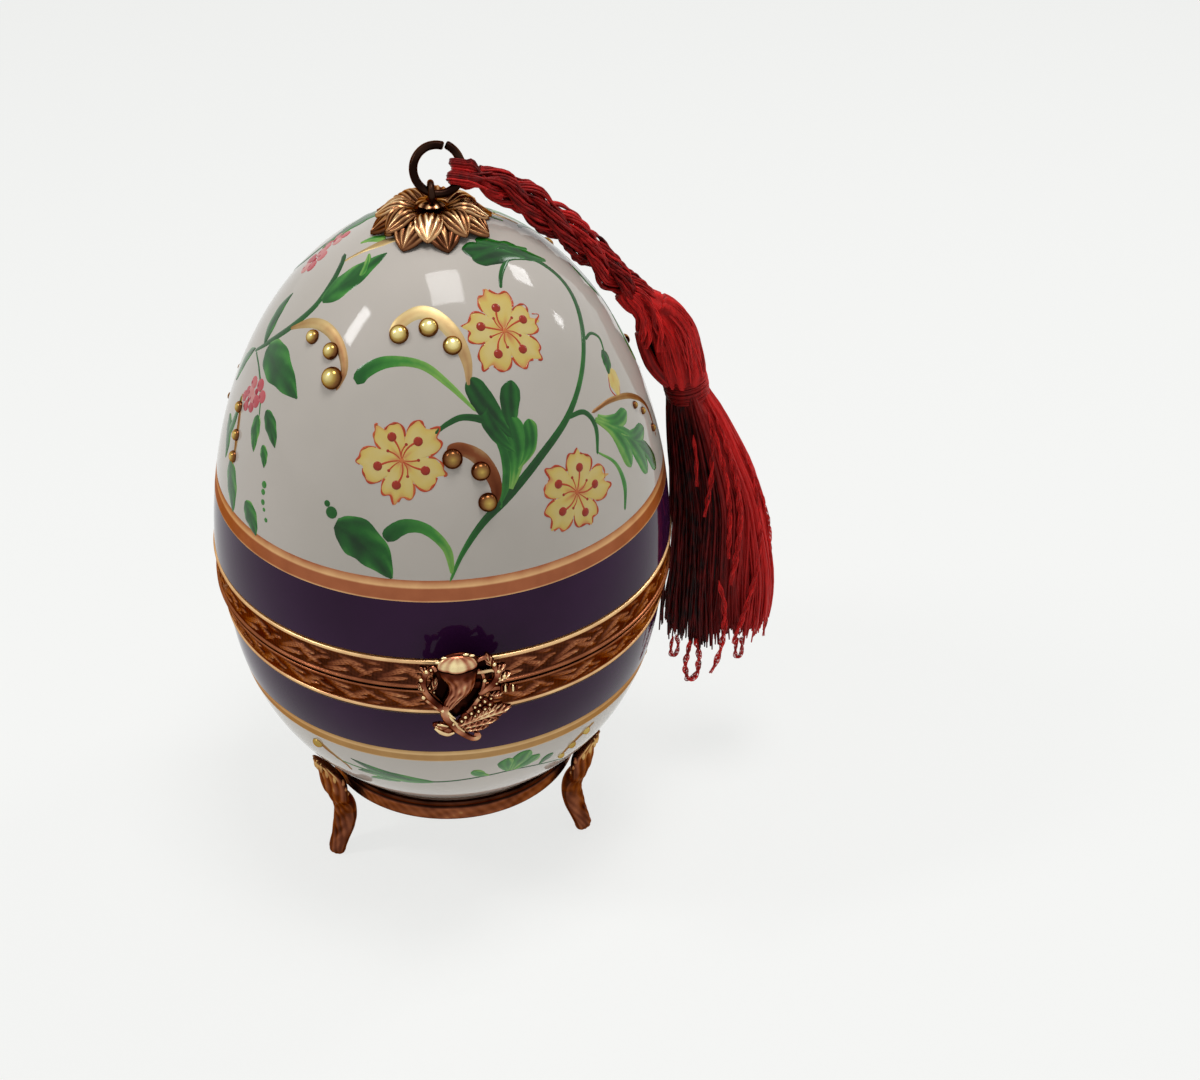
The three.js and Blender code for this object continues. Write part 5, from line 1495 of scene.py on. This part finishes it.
def sprig_stem(shape, points, radii, shade, shade_banded=False):
    """Stem through places of the sprig; with shade banding it gets painted highlights and shade in turn
    along its length, in place of ridges.
    """
    count = 36
    lit = np.full(count, shade)
    if shade_banded:
        lit = lit + 0.18 * np.sin(np.linspace(0, 5 * math.pi, count))
    body = tube(sprig_line(points, count), spread_over(radii, count), STEM_SIDES)
    shape.add(body, np.clip(np.repeat(lit, STEM_SIDES), 0, 1))


def sprig_ball(shape, x, z, out, radius, across, shade, squash=(1, 1, 1)):
    shape.add(ball((x, SPRIG_Y - out, SEAM + z), radius, across, squash), shade)


def sprig_leaf(shape, start, end, width, teeth):
    """Veined leaf with a toothed edge, arched outwards along its midrib."""
    a = np.array([start[0], SPRIG_Y, SEAM + start[1]])
    b = np.array([end[0], SPRIG_Y, SEAM + end[1]])
    along = b - a
    aside = unit(np.cross(along, [0.0, 1.0, 0.0]))
    rows, columns = 61, 17
    t = np.linspace(0, 1, rows)
    across = np.linspace(-1, 1, columns)
    half = width / 2 * np.sin(math.pi * np.clip(t, 0.03, 0.985) ** 0.8) ** 0.7
    tooth = 1 + 0.22 * (((t * teeth) % 1) - 0.5) * (t > 0.1)
    vein = np.cos(2 * math.pi * (t[:, None] * teeth - 1.1 * np.abs(across)[None, :]))
    spread = np.abs(across)[None, :]
    lift = 0.38 * (1 - across[None, :] ** 2) + 0.15 * vein * spread ** 0.5
    lift = lift + 0.20 * np.exp(-(across / 0.13) ** 2)[None, :]
    reach = (half * tooth)[:, None, None]
    front = (a + np.outer(t, along))[:, None] + aside * reach * across[None, :, None]
    back = front.copy()
    front[..., 1] -= lift * np.minimum(half[:, None] / 0.5, 1) + 0.12
    back[..., 1] += 0.30
    rings = np.concatenate([front, back[:, ::-1]], 1)
    # Painted highlights on the raised midrib and veins, painted shade between them and on the back
    # towards the bezel
    midrib = np.exp(-(across / 0.15) ** 2)[None, :]
    face = 0.42 + 0.40 * vein * spread ** 0.4 + 0.45 * midrib - 0.15 * spread
    lit = np.concatenate([face, np.full((rows, columns), 0.1)], 1)
    shape.add(loft(rings), np.clip(lit, 0, 1).ravel())


def add_lily(sprig):
    """Hooded flower: a ribbed body that rises to a fold painted dark as shade, and a pale rounded hood
    over it with painted highlights on its swellings.
    """
    path = sprig_line([(-2.8, -0.4, 0.0), (-2.1, 0.8, 0.05), (-1.25, 2.1, 0.15), (-1.0, 3.4, 0.28),
                       (-1.25, 4.8, 0.40), (-1.40, 5.7, 0.38)], 40)
    shares = np.linspace(0, 1, 40)
    flare = np.interp(shares, [0, 0.2, 0.4, 0.55, 0.68, 0.8, 0.9, 1.0],
                      [0.30, 0.48, 0.60, 0.66, 0.74, 0.87, 0.98, 0.99])
    angles = circle(72)
    side = 0.22 * np.abs(np.cos(angles)) ** 3
    rings, lit = [], []
    for p, share, wide in zip(path, shares, flare):
        grooves = 0.06 * np.cos(14 * angles + 0.8 * math.sin(5 * share)) * (1 - share ** 3)
        lumps = 0.05 * np.sin(6 * angles + 9 * share) * np.sin(13 * share)
        x = p[0] + 2.30 * wide * np.cos(angles)
        y = p[1] - (0.36 + 0.36 * wide + grooves + lumps) * np.sin(angles)
        rings.append(np.stack([x, y, p[2] - 0.25 * share ** 4 * np.sin(angles)], -1))
        # Painted shade in the grooves, at the sides and towards the fold, painted light on the lumps
        lit.append(0.50 + 2.0 * grooves + 2.4 * lumps - side - 0.30 * max(share - 0.8, 0) * 5)
    lip = rings[-1]
    middle = lip.mean(0)
    swell = np.clip(np.sin(3 * angles - math.pi), 0, 1) * np.clip(np.sin(angles), 0, 1)
    # A fold painted dark as shade, then the hood with three swellings along its front, painted pale as
    # highlights
    for scale, rise, shade in ((0.88, 0.05, 0.0), (0.90, 0.22, 0.0), (1.03, 0.36, 0.55),
                               (1.04, 0.66, 0.95), (0.98, 1.0, 1.0), (0.86, 1.32, 0.92),
                               (0.68, 1.55, 0.74), (0.42, 1.72, 0.62), (0.16, 1.78, 0.55)):
        ring = middle + (lip - middle) * scale
        ring[:, 2] += rise - 0.12 * swell * (scale > 0.8)
        ring[:, 1] += 0.12 * rise - 0.12 * swell * (scale > 0.8)
        rings.append(ring)
        lit.append(shade * (0.80 + 0.30 * swell + 0.12 * np.sin(11 * angles)))
    sprig.add(loft(rings), np.clip(np.concatenate(lit), 0, 1))
    # Thin bar over the hood, with painted highlights as bright points
    sprig_stem(sprig, [(-3.75, 6.2, 0.05), (-3.2, 7.0, 0.0), (-2.2, 7.5, -0.05), (-1.2, 7.62, -0.05),
                       (-0.2, 7.5, -0.05), (0.6, 7.1, 0.0), (1.05, 6.3, 0.05)],
               [0.20, 0.24, 0.22, 0.24, 0.22], 0.22)
    for x, z in ((-3.65, 6.75), (-2.9, 7.35), (-0.35, 7.62), (0.35, 7.38)):
        sprig_ball(sprig, x, z, 0.12, 0.26, 12, 1.0, (1.5, 0.8, 0.7))


# Outline of the dark web behind the flower and its stems, a sheet painted black as the shade seen
# through the openwork: across and above the seam
WEB = [
    (-4.4, 3.0), (-4.2, 4.9), (-3.2, 6.3), (-1.4, 6.8), (0.6, 6.2), (2.5, 6.1), (2.9, 4.8), (2.1, 2.9),
    (1.1, 1.0), (-0.4, -0.9), (-1.6, -2.2), (-2.5, -1.5), (-3.4, 0.3), (-4.3, 1.8), (-4.4, 3.0),
]
# The sprig's stems: places, radii, shade, and whether they get painted bands of highlight and shade
SPRIG_STEMS = (
    # Stem under the lily, with a curl at its end, and the big curl to its left
    ([(-2.9, 0.2, 0), (-3.05, -0.8, 0.1), (-2.75, -2.0, 0.15), (-1.7, -3.7, 0.1), (-0.7, -4.8, 0.05),
      (0.1, -5.35, 0.1), (0.75, -5.25, 0.2), (0.85, -4.75, 0.25), (0.35, -4.6, 0.2)],
     [0.60, 0.62, 0.60, 0.54, 0.46, 0.40, 0.36, 0.34, 0.3], 0.45, True),
    ([(-2.75, -1.7, 0), (-3.6, 0.0, 0.1), (-4.7, 1.5, 0.15), (-5.35, 2.8, 0.15), (-5.45, 4.2, 0.1),
      (-5.05, 5.4, 0.1), (-4.3, 6.1, 0.15), (-3.95, 5.7, 0.2)],
     [0.50, 0.48, 0.44, 0.42, 0.40, 0.38, 0.34, 0.30], 0.40, True),
    # Bright lines across the stem
    *(([(x - 0.5, z + 0.9, 0.42), (x, z, 0.50), (x + 0.7, z - 0.9, 0.42)], [0.10, 0.20, 0.10],
       0.85, False) for x, z in ((-2.6, -0.9), (-2.3, -1.8), (-1.55, -3.1))),
    ([(-3.1, -0.9, 0.1), (-4.2, 0.2, 0.15), (-5.3, 1.3, 0.1)], [0.36, 0.32, 0.22], 0.6, True),
    # Thin stem up the berries' side, the loop beside the lily and its inner hoop
    ([(-1.7, -3.1, 0), (-0.7, -1.8, 0.05), (0.3, -0.4, 0.1), (1.2, 1.2, 0.1), (1.7, 2.9, 0.05),
      (1.6, 4.3, 0.0), (1.0, 5.1, -0.1)], [0.38, 0.36, 0.34, 0.30, 0.26, 0.24, 0.20], 0.5, True),
    ([(1.2, 1.4, 0), (2.1, 2.2, 0.1), (2.9, 3.1, 0.15), (3.3, 4.2, 0.15), (3.1, 5.3, 0.1),
      (2.6, 6.3, 0.1), (2.1, 6.9, 0.05), (1.2, 6.6, 0.0), (0.6, 6.2, -0.1)],
     [0.36, 0.42, 0.46, 0.42, 0.38, 0.36, 0.36, 0.28, 0.24], 0.38, True),
    ([(0.9, 4.7, 0), (1.7, 4.75, 0.05), (2.6, 4.9, 0.05), (3.1, 4.7, 0)], [0.22, 0.26, 0.26, 0.26],
     0.85, False),
)
# Small leaves on the stems: start, end, width and teeth
SMALL_LEAVES = (
    ((2.7, 5.6), (2.0, 7.5), 1.0, 3), ((3.0, 4.6), (4.3, 5.6), 1.2, 3), ((3.1, 3.3), (4.9, 4.3), 1.4, 4),
    ((-4.9, 5.2), (-5.8, 6.3), 0.9, 3), ((-5.2, 2.6), (-6.1, 3.8), 1.0, 3),
    ((-4.6, 2.6), (-3.9, 4.4), 0.9, 3),
)
# Large leaf in overlapping leaflets, each with its veins
LEAFLETS = (
    ((-1.7, -3.0), (4.9, -0.9), 2.3, 9), ((-1.3, -3.4), (3.4, -2.6), 1.5, 6),
    ((-1.0, -3.8), (2.2, -3.6), 1.2, 5), ((-0.6, -2.5), (3.9, -0.4), 1.3, 6),
)
# Berries along the stems: across, above the seam and radius
BERRIES = (
    (1.25, 1.1, 0.42), (1.75, 0.45, 0.52), (0.55, -0.35, 0.46), (1.15, -0.1, 0.42), (2.35, -0.1, 0.48),
    (0.95, -1.0, 0.5), (1.75, -0.75, 0.46), (0.1, -1.25, 0.5), (-0.65, -1.65, 0.62), (-1.1, -2.3, 0.5),
    (2.5, 0.75, 0.4), (0.55, -1.75, 0.42), (3.2, 3.0, 0.4), (3.6, 3.75, 0.42), (-4.5, 5.9, 0.45),
    (-5.75, 3.1, 0.36), (-4.75, 3.1, 0.34), (-4.25, 2.4, 0.3),
)
# Painted highlights: bright points on the stems and leaves
PAINTED_GLINTS = (
    (-5.55, 1.9), (-5.75, 4.6), (-5.1, 5.75), (2.95, 6.0), (3.45, 4.9), (4.1, 4.1), (1.75, 3.7),
    (-3.35, -0.4), (-2.2, -2.6),
)
# Closed sepals of the bud, one over another, and the two bright lines on them
SEPALS = (
    (-3.55, -3.1, 0.80), (-2.95, -3.75, 0.68), (-3.0, -2.7, 0.5), (-2.4, -3.3, 0.55), (-4.1, -2.8, 0.5),
    (-2.2, -4.0, 0.42),
)
BUD_LINES = (
    ([(-4.4, -3.0, 0.45), (-3.6, -3.7, 0.55), (-2.8, -4.1, 0.50), (-2.1, -4.0, 0.4)],
     [0.14, 0.26, 0.26, 0.14], 0.95),
    ([(-4.1, -2.5, 0.40), (-3.4, -2.6, 0.50), (-2.8, -2.9, 0.45)], [0.10, 0.18, 0.10], 0.9),
)


def add_sprig_hinge(sprig):
    """The sprig's barrel with its web, and the pad that rests over the stud."""
    half = 1.4
    # Barrel, web and pad are painted dark, as the shade behind the sprig
    sprig.add(round_bar(CLASP_BARREL, CLASP_BORE, -half, half, (CLASP_Y, CLASP_Z), 0.1), 0.05)
    sprig.add(block((-half, SPRIG_Y, CLASP_Z - 0.7), (half, CLASP_Y - 0.52, CLASP_Z + 0.3), 0.1), 0.0)
    low, high = corners("catch_stud")
    end = low[1] - 0.3
    rows = [(0.0, 0.0), (0.9, 0.0), (1.0, 0.1), (1.0, end - SPRIG_Y), (0.0, end - SPRIG_Y)]
    points, faces = lathe(rows, 28)
    points = np.stack([points[:, 0], end - points[:, 2], points[:, 1] + (low[2] / 2 + high[2] / 2)], -1)
    sprig.add((points, faces), 0.05)


def add_sprig():
    sprig = Shape()
    add_sprig_hinge(sprig)
    # The web, painted black as the shade behind the openwork
    web = smooth(WEB, 60)[:-1]
    sprig.add(loft([np.stack([web[:, 0], np.full(len(web), y), SEAM + web[:, 1]], -1)
                    for y in (SPRIG_Y + 0.36, SPRIG_Y + 0.64)]), 0.0)
    add_lily(sprig)
    for stem in SPRIG_STEMS:
        sprig_stem(sprig, *stem)
    for row in SMALL_LEAVES:
        sprig_leaf(sprig, *row)
    # Ribbed pod on its short stalk; its ribs are painted light and dark in turn, as highlights and shade
    sprig_stem(sprig, [(1.9, 1.9, 0), (2.7, 2.2, 0.1), (3.6, 2.15, 0.1)], [0.36, 0.38, 0.32], 0.35)
    sprig_leaf(sprig, (2.4, 1.2), (4.2, 1.5), 0.9, 3)
    for i in range(5):
        sprig_ball(sprig, 3.75 + 0.46 * i, 2.08 - 0.05 * i, 0.05, 0.60 - 0.03 * i, 14,
                   1.0 if i % 2 else 0.15, (0.40, 1.1, 1.05))
    # Each berry has a bright point, a painted highlight at its upper left
    for x, z, radius in BERRIES:
        sprig_ball(sprig, x, z, 0.18, radius, 16, 0.14, (1, 0.9, 1))
        sprig_ball(sprig, x - 0.04, z + 0.12, 0.18 + radius * 0.76, radius * 0.36, 10, 1.0)
    for x, z in PAINTED_GLINTS:
        sprig_ball(sprig, x, z, 0.42, 0.26, 12, 0.95)
    for x, z, size in SEPALS:
        sprig_ball(sprig, x, z, 0.05, size, 16, 0.16 + 0.30 * (size > 0.65), (1.1, 0.7, 0.75))
    for stem in BUD_LINES:
        sprig_stem(sprig, *stem)
    sprig_leaf(sprig, (-3.0, -3.3), (-4.6, -2.7), 0.9, 3)
    for row in LEAFLETS:
        sprig_leaf(sprig, *row)
    sprig.build("clasp_sprig_cast", "clasp", [sprig_gilt], "bezel_gilt", 50, ["clasp_sprig"])


add_sprig()


# Finial: two layers of petals, the eye's post, and the washer and nut inside the lid

PETALS_ROUND = 8
PETAL_THICKNESS = 0.32
# Over the crown: the two layers of petals, with gaps under, between and over them
FLANGE = CROWN + 0.25 + 0.4 + 0.25 + 0.4 + 0.25


def petal_body(reach, width, layer, angle, tone):
    """Pointed petal on the crown: folded along its middle, slotted by veins, its tip bent down."""
    rows, columns = 34, 27
    t = np.linspace(0, 1, rows)
    across = np.linspace(-1, 1, columns)
    radii = 1.7 + (reach - 1.7) * t
    half = width / 2 * np.interp(t, [0, 0.2, 0.5, 0.72, 0.86, 0.95, 1],
                                 [0.50, 0.78, 1.0, 0.92, 0.62, 0.28, 0.04])
    arch = 0.85 * np.sin(math.pi * np.clip(t * 1.02, 0, 1)) ** 1.2
    floor = lid.height(radii) + layer
    spread = np.abs(across)[None, :]
    keel = (1 - spread) * np.interp(t, [0, 0.4, 1], [0.10, 0.32, 0.20])[:, None]
    slots = np.cos(2 * math.pi * (2.4 * spread + 1.15 * t[:, None]))
    inside = np.sin(math.pi * np.clip(t * 0.94 + 0.05, 0, 1))[:, None] * (1 - spread ** 6)
    raised = 0.14 + PETAL_THICKNESS * (1 - spread ** 3) * 0.5 + keel + 0.11 * slots * inside
    rim = 0.16 * np.exp(-((spread - 0.93) / 0.08) ** 2) * np.sin(math.pi * np.clip(t, 0, 0.97))[:, None]
    top = np.stack(np.broadcast_arrays(radii[:, None], half[:, None] * across[None, :],
                                       (floor + arch)[:, None] + raised + rim), -1)
    low = np.stack(np.broadcast_arrays(radii[:, None], half[:, None] * across[None, ::-1],
                                       (floor + arch * 0.8)[:, None]), -1)
    fold = np.exp(-(spread / 0.16) ** 2)
    # Painted shade in the vein slots and on the underside, painted highlights along the rim and fold,
    # lighter towards the tip
    lit = tone - 0.18 + 0.42 * slots * inside + 0.35 * fold * t[:, None] + 1.6 * rim
    lit = lit + 0.30 * (t[:, None] - 0.55)
    lit = np.concatenate([lit, np.zeros((rows, columns))], 1)
    points, faces = loft(np.concatenate([top, low], 1))
    return (turned(points, angle), faces), np.clip(lit, 0, 1).ravel()


def add_rosette(name, node, reach, width, layer, turn, tone):
    rosette = Shape()
    for i in range(PETALS_ROUND):
        vary = 0.12 * math.sin(2.7 * i + reach)
        angle = 2 * math.pi * (i + turn) / PETALS_ROUND + 0.3 * vary
        rosette.add(*petal_body(reach - 0.5 * abs(vary), width, layer, angle, tone + vary))
    # Hub under the petals, painted dark as the shade beneath them
    floor = float(lid.height(1.8)) + layer
    rows = [(1.2, floor), (2.9, floor - 0.1), (2.9, floor + 0.3), (2.3, floor + 0.4), (1.2, floor + 0.4)]
    rosette.add(lathe(rows, 64), 0.2)
    rosette.build(name, "lid", [rosette_gilt], "rosette_gilt", 50, [node])


def add_post():
    """Threaded post that ends in an eye, with a domed boss round the eye's foot."""
    bottom = corners("finial_post")[0][2]
    rows = [(0.0, bottom), (0.75, bottom), (0.9, bottom + 0.15)]
    for z in np.arange(bottom + 0.3, FLANGE - 5.0, 0.25):
        rows += [(0.9, z), (0.8, z + 0.125)]
    rows += [(0.9, FLANGE - 4.8), (0.9, FLANGE), (1.3, FLANGE + 0.05), (0.8, FLANGE + 0.5),
             (0.0, FLANGE + 0.55)]
    post = Shape().add(lathe(rows, 40), 0.3)
    # The boss is chased like the petals, with painted highlights on its flutes and painted shade between
    # them
    rows = np.array([(0.9, FLANGE), (1.72, FLANGE), (1.82, FLANGE + 0.14), (1.62, FLANGE + 0.33),
                     (1.2, FLANGE + 0.47), (0.7, FLANGE + 0.52)])
    flutes = np.cos(10 * circle(96)[None, :]) * np.array([0, 0.3, 1, 1, 0.7, 0])[:, None]
    post.add(lathe(rows, 96, 0.05 * flutes), np.clip(0.45 + 0.40 * flutes, 0, 1).ravel(), 1)
    angles, around = circle(48), circle(14)
    line = np.stack([0 * angles, 1.2 * np.cos(angles), EYE_HEIGHT + 1.2 * np.sin(angles)], -1)
    rings = [p + 0.4 * (np.outer(np.cos(around), unit(p - (0, 0, EYE_HEIGHT)))
                        + np.outer(np.sin(around), [1, 0, 0])) for p in line]
    post.add((np.concatenate(rings), grid_faces(len(angles), len(around), True, True)), 0.6)
    post.build("finial_post_turned", "lid", [dark_bronze, rosette_gilt], "dark_bronze", 40,
               ["finial_post"])


def add_washer():
    (_, _, low), (_, _, high) = corners("finial_washer")
    rows = [(1.2, low), (2.85, low), (3.0, low + 0.15), (3.0, high - 0.15), (2.85, high), (1.2, high)]
    washer = Shape().add(lathe(rows, 64), 0.6)
    washer.build("finial_washer_pressed", "lid", [brass], "brass", 40, ["finial_washer"])


def add_nut():
    (_, _, low), (_, _, high) = corners("finial_nut")
    count = 72
    angles = circle(count)
    flat = 2.2 * math.cos(math.pi / 6)
    hexagon = flat / np.cos((angles + math.pi / 6) % (math.pi / 3) - math.pi / 6)
    bore, chamfered = np.full(count, 1.2), np.minimum(hexagon, flat * 1.02)
    rows = [(bore, low), (chamfered, low), (hexagon, low + 0.2), (hexagon, high - 0.2),
            (chamfered, high), (bore, high)]
    rings = [np.stack([radii * np.sin(angles), radii * np.cos(angles), np.full(count, z)], -1)
             for radii, z in rows]
    nut = Shape().add((np.concatenate(rings), grid_faces(len(rows), count, True, True)), 0.6)
    nut.build("finial_nut_milled", "lid", [brass], "brass", 30, ["finial_nut"])


# The outer layer is painted darker than the inner, as the shade under it
add_rosette("rosette_outer_chased", "rosette_outer_petals", 7.6, 4.3, 0.25, 0.25, 0.34)
add_rosette("rosette_inner_chased", "rosette_inner_petals", 6.8, 3.6, 0.90, 0.75, 0.62)
add_post()
add_washer()
add_nut()


def add_jump_ring():
    """Split ring in the post's eye."""
    count = 110
    along = np.linspace(0, 1, count)
    angles = np.radians(90 + RING_SPLIT / 2 + along * (360 - RING_SPLIT))
    lean, slip = math.radians(RING_LEAN), math.radians(RING_SLIP)
    # The two ends stand a little to either side of each other, as a sprung ring's do
    aside = 0.34 * np.interp(along, [0, 0.16, 0.84, 1], [-1, 0, 0, 1])
    wide = RING_RADIUS + 0.22 * np.interp(along, [0, 0.12, 0.88, 1], [-0.6, 0, 0, 1])
    x, z = wide * np.cos(angles), RING_RADIUS + wide * np.sin(angles)
    x, z = x * math.cos(slip) + z * math.sin(slip), z * math.cos(slip) - x * math.sin(slip)
    line = np.stack([x, z * math.sin(lean) + aside * math.cos(lean),
                     EYE_HEIGHT + z * math.cos(lean) - aside * math.sin(lean)], -1)
    radii = np.full(count, RING_WIRE * 1.04)
    radii[[0, -1]] = RING_WIRE * 0.84
    around = circle(16)
    # Painted light on one side of the wire and painted shade on the other
    lit = 0.34 + 0.20 * np.sin(angles * 3)[:, None] + 0.22 * np.cos(around)[None, :]
    ring = Shape().add(tube(line, radii, len(around)), np.clip(lit, 0, 1).ravel())
    ring.build("jump_ring_wire", "ring", [dark_bronze], "dark_bronze", 50, ["jump_ring"])


add_jump_ring()


# Floor, lamps and surroundings
BACKGROUND = (0.985, 0.992, 0.978)
FLOOR_HALF = 3.0
# How much of the paper's own colour the camera sees, whatever light falls on it
FLOOR_GLOW = 0.74
# Light that the surroundings throw on the object, next to the 1 that the camera sees
WORLD_LIGHT = 0.27


def seen_share(owner):
    """1 for what the camera sees directly, in gloss or through glass, and 0 for light on the object."""
    rays = add_node(owner, "ShaderNodeLightPath").outputs
    total = rays["Is Camera Ray"]
    for name in ("Is Glossy Ray", "Is Transmission Ray"):
        most = add_node(owner, "ShaderNodeMath", {"operation": "MAXIMUM"}, i0=total, i1=rays[name])
        total = most.outputs[0]
    return total


def add_floor():
    data = bpy.data.meshes.new("floor")
    outline = [(x * FLOOR_HALF, y * FLOOR_HALF, 0) for x, y in ((-1, -1), (1, -1), (1, 1), (-1, 1))]
    data.from_pydata(outline, [], [(0, 1, 2, 3)])
    floor = bpy.data.objects.new("floor", data)
    bpy.context.scene.collection.objects.link(floor)
    paper = new_material("floor_paper", {
        "Base Color": (*BACKGROUND, 1), "Roughness": 1.0, "Specular IOR Level": 0.0})
    glow = add_node(paper, "ShaderNodeEmission", Color=(*BACKGROUND, 1))
    share = add_node(paper, "ShaderNodeMath", {"operation": "MULTIPLY"},
                     i0=seen_share(paper), i1=FLOOR_GLOW)
    mix = add_node(paper, "ShaderNodeMixShader", i0=share.outputs[0], i1=shader_of(paper).outputs[0],
                   i2=glow.outputs[0])
    paper.node_tree.links.new(mix.outputs[0], paper.node_tree.nodes["Material Output"].inputs["Surface"])
    data.materials.append(paper)


def add_lamp(name, place, target, size, power, spin=0.0):
    data = bpy.data.lights.new(name, "AREA")
    data.shape = "RECTANGLE"
    data.size, data.size_y = size
    data.energy = power
    lamp = bpy.data.objects.new(name, data)
    bpy.context.scene.collection.objects.link(lamp)
    lamp.location = place
    lamp.rotation_mode = "QUATERNION"
    aim = (Vector(target) - Vector(place)).to_track_quat("-Z", "Y")
    lamp.rotation_quaternion = aim @ Quaternion((0, 0, 1), math.radians(spin))


def add_world():
    world = bpy.data.worlds.new("studio")
    world.use_nodes = True
    bpy.context.scene.world = world
    background = world.node_tree.nodes["Background"].inputs
    background["Color"].default_value = (*BACKGROUND, 1)
    world.node_tree.links.new(ranged(world, seen_share(world), WORLD_LIGHT, 1.0), background["Strength"])


add_floor()
add_world()
add_lamp("overhead_lamp", (0.046, -0.040, 0.535), (0, -0.005, 0.06), (0.16, 0.16), 0.86, spin=45)
add_lamp("left_lamp", (-0.332, -0.028, 0.399), (0, 0, 0.06), (0.055, 0.12), 0.40, spin=14)
add_lamp("right_lamp", (0.324, 0.164, 0.359), (0, 0, 0.06), (0.075, 0.075), 0.22)
add_lamp("side_lamp", (0.415, 0.101, 0.252), (0, 0, 0.06), (0.035, 0.035), 0.05)
bpy.context.scene.view_settings.view_transform = "Standard"
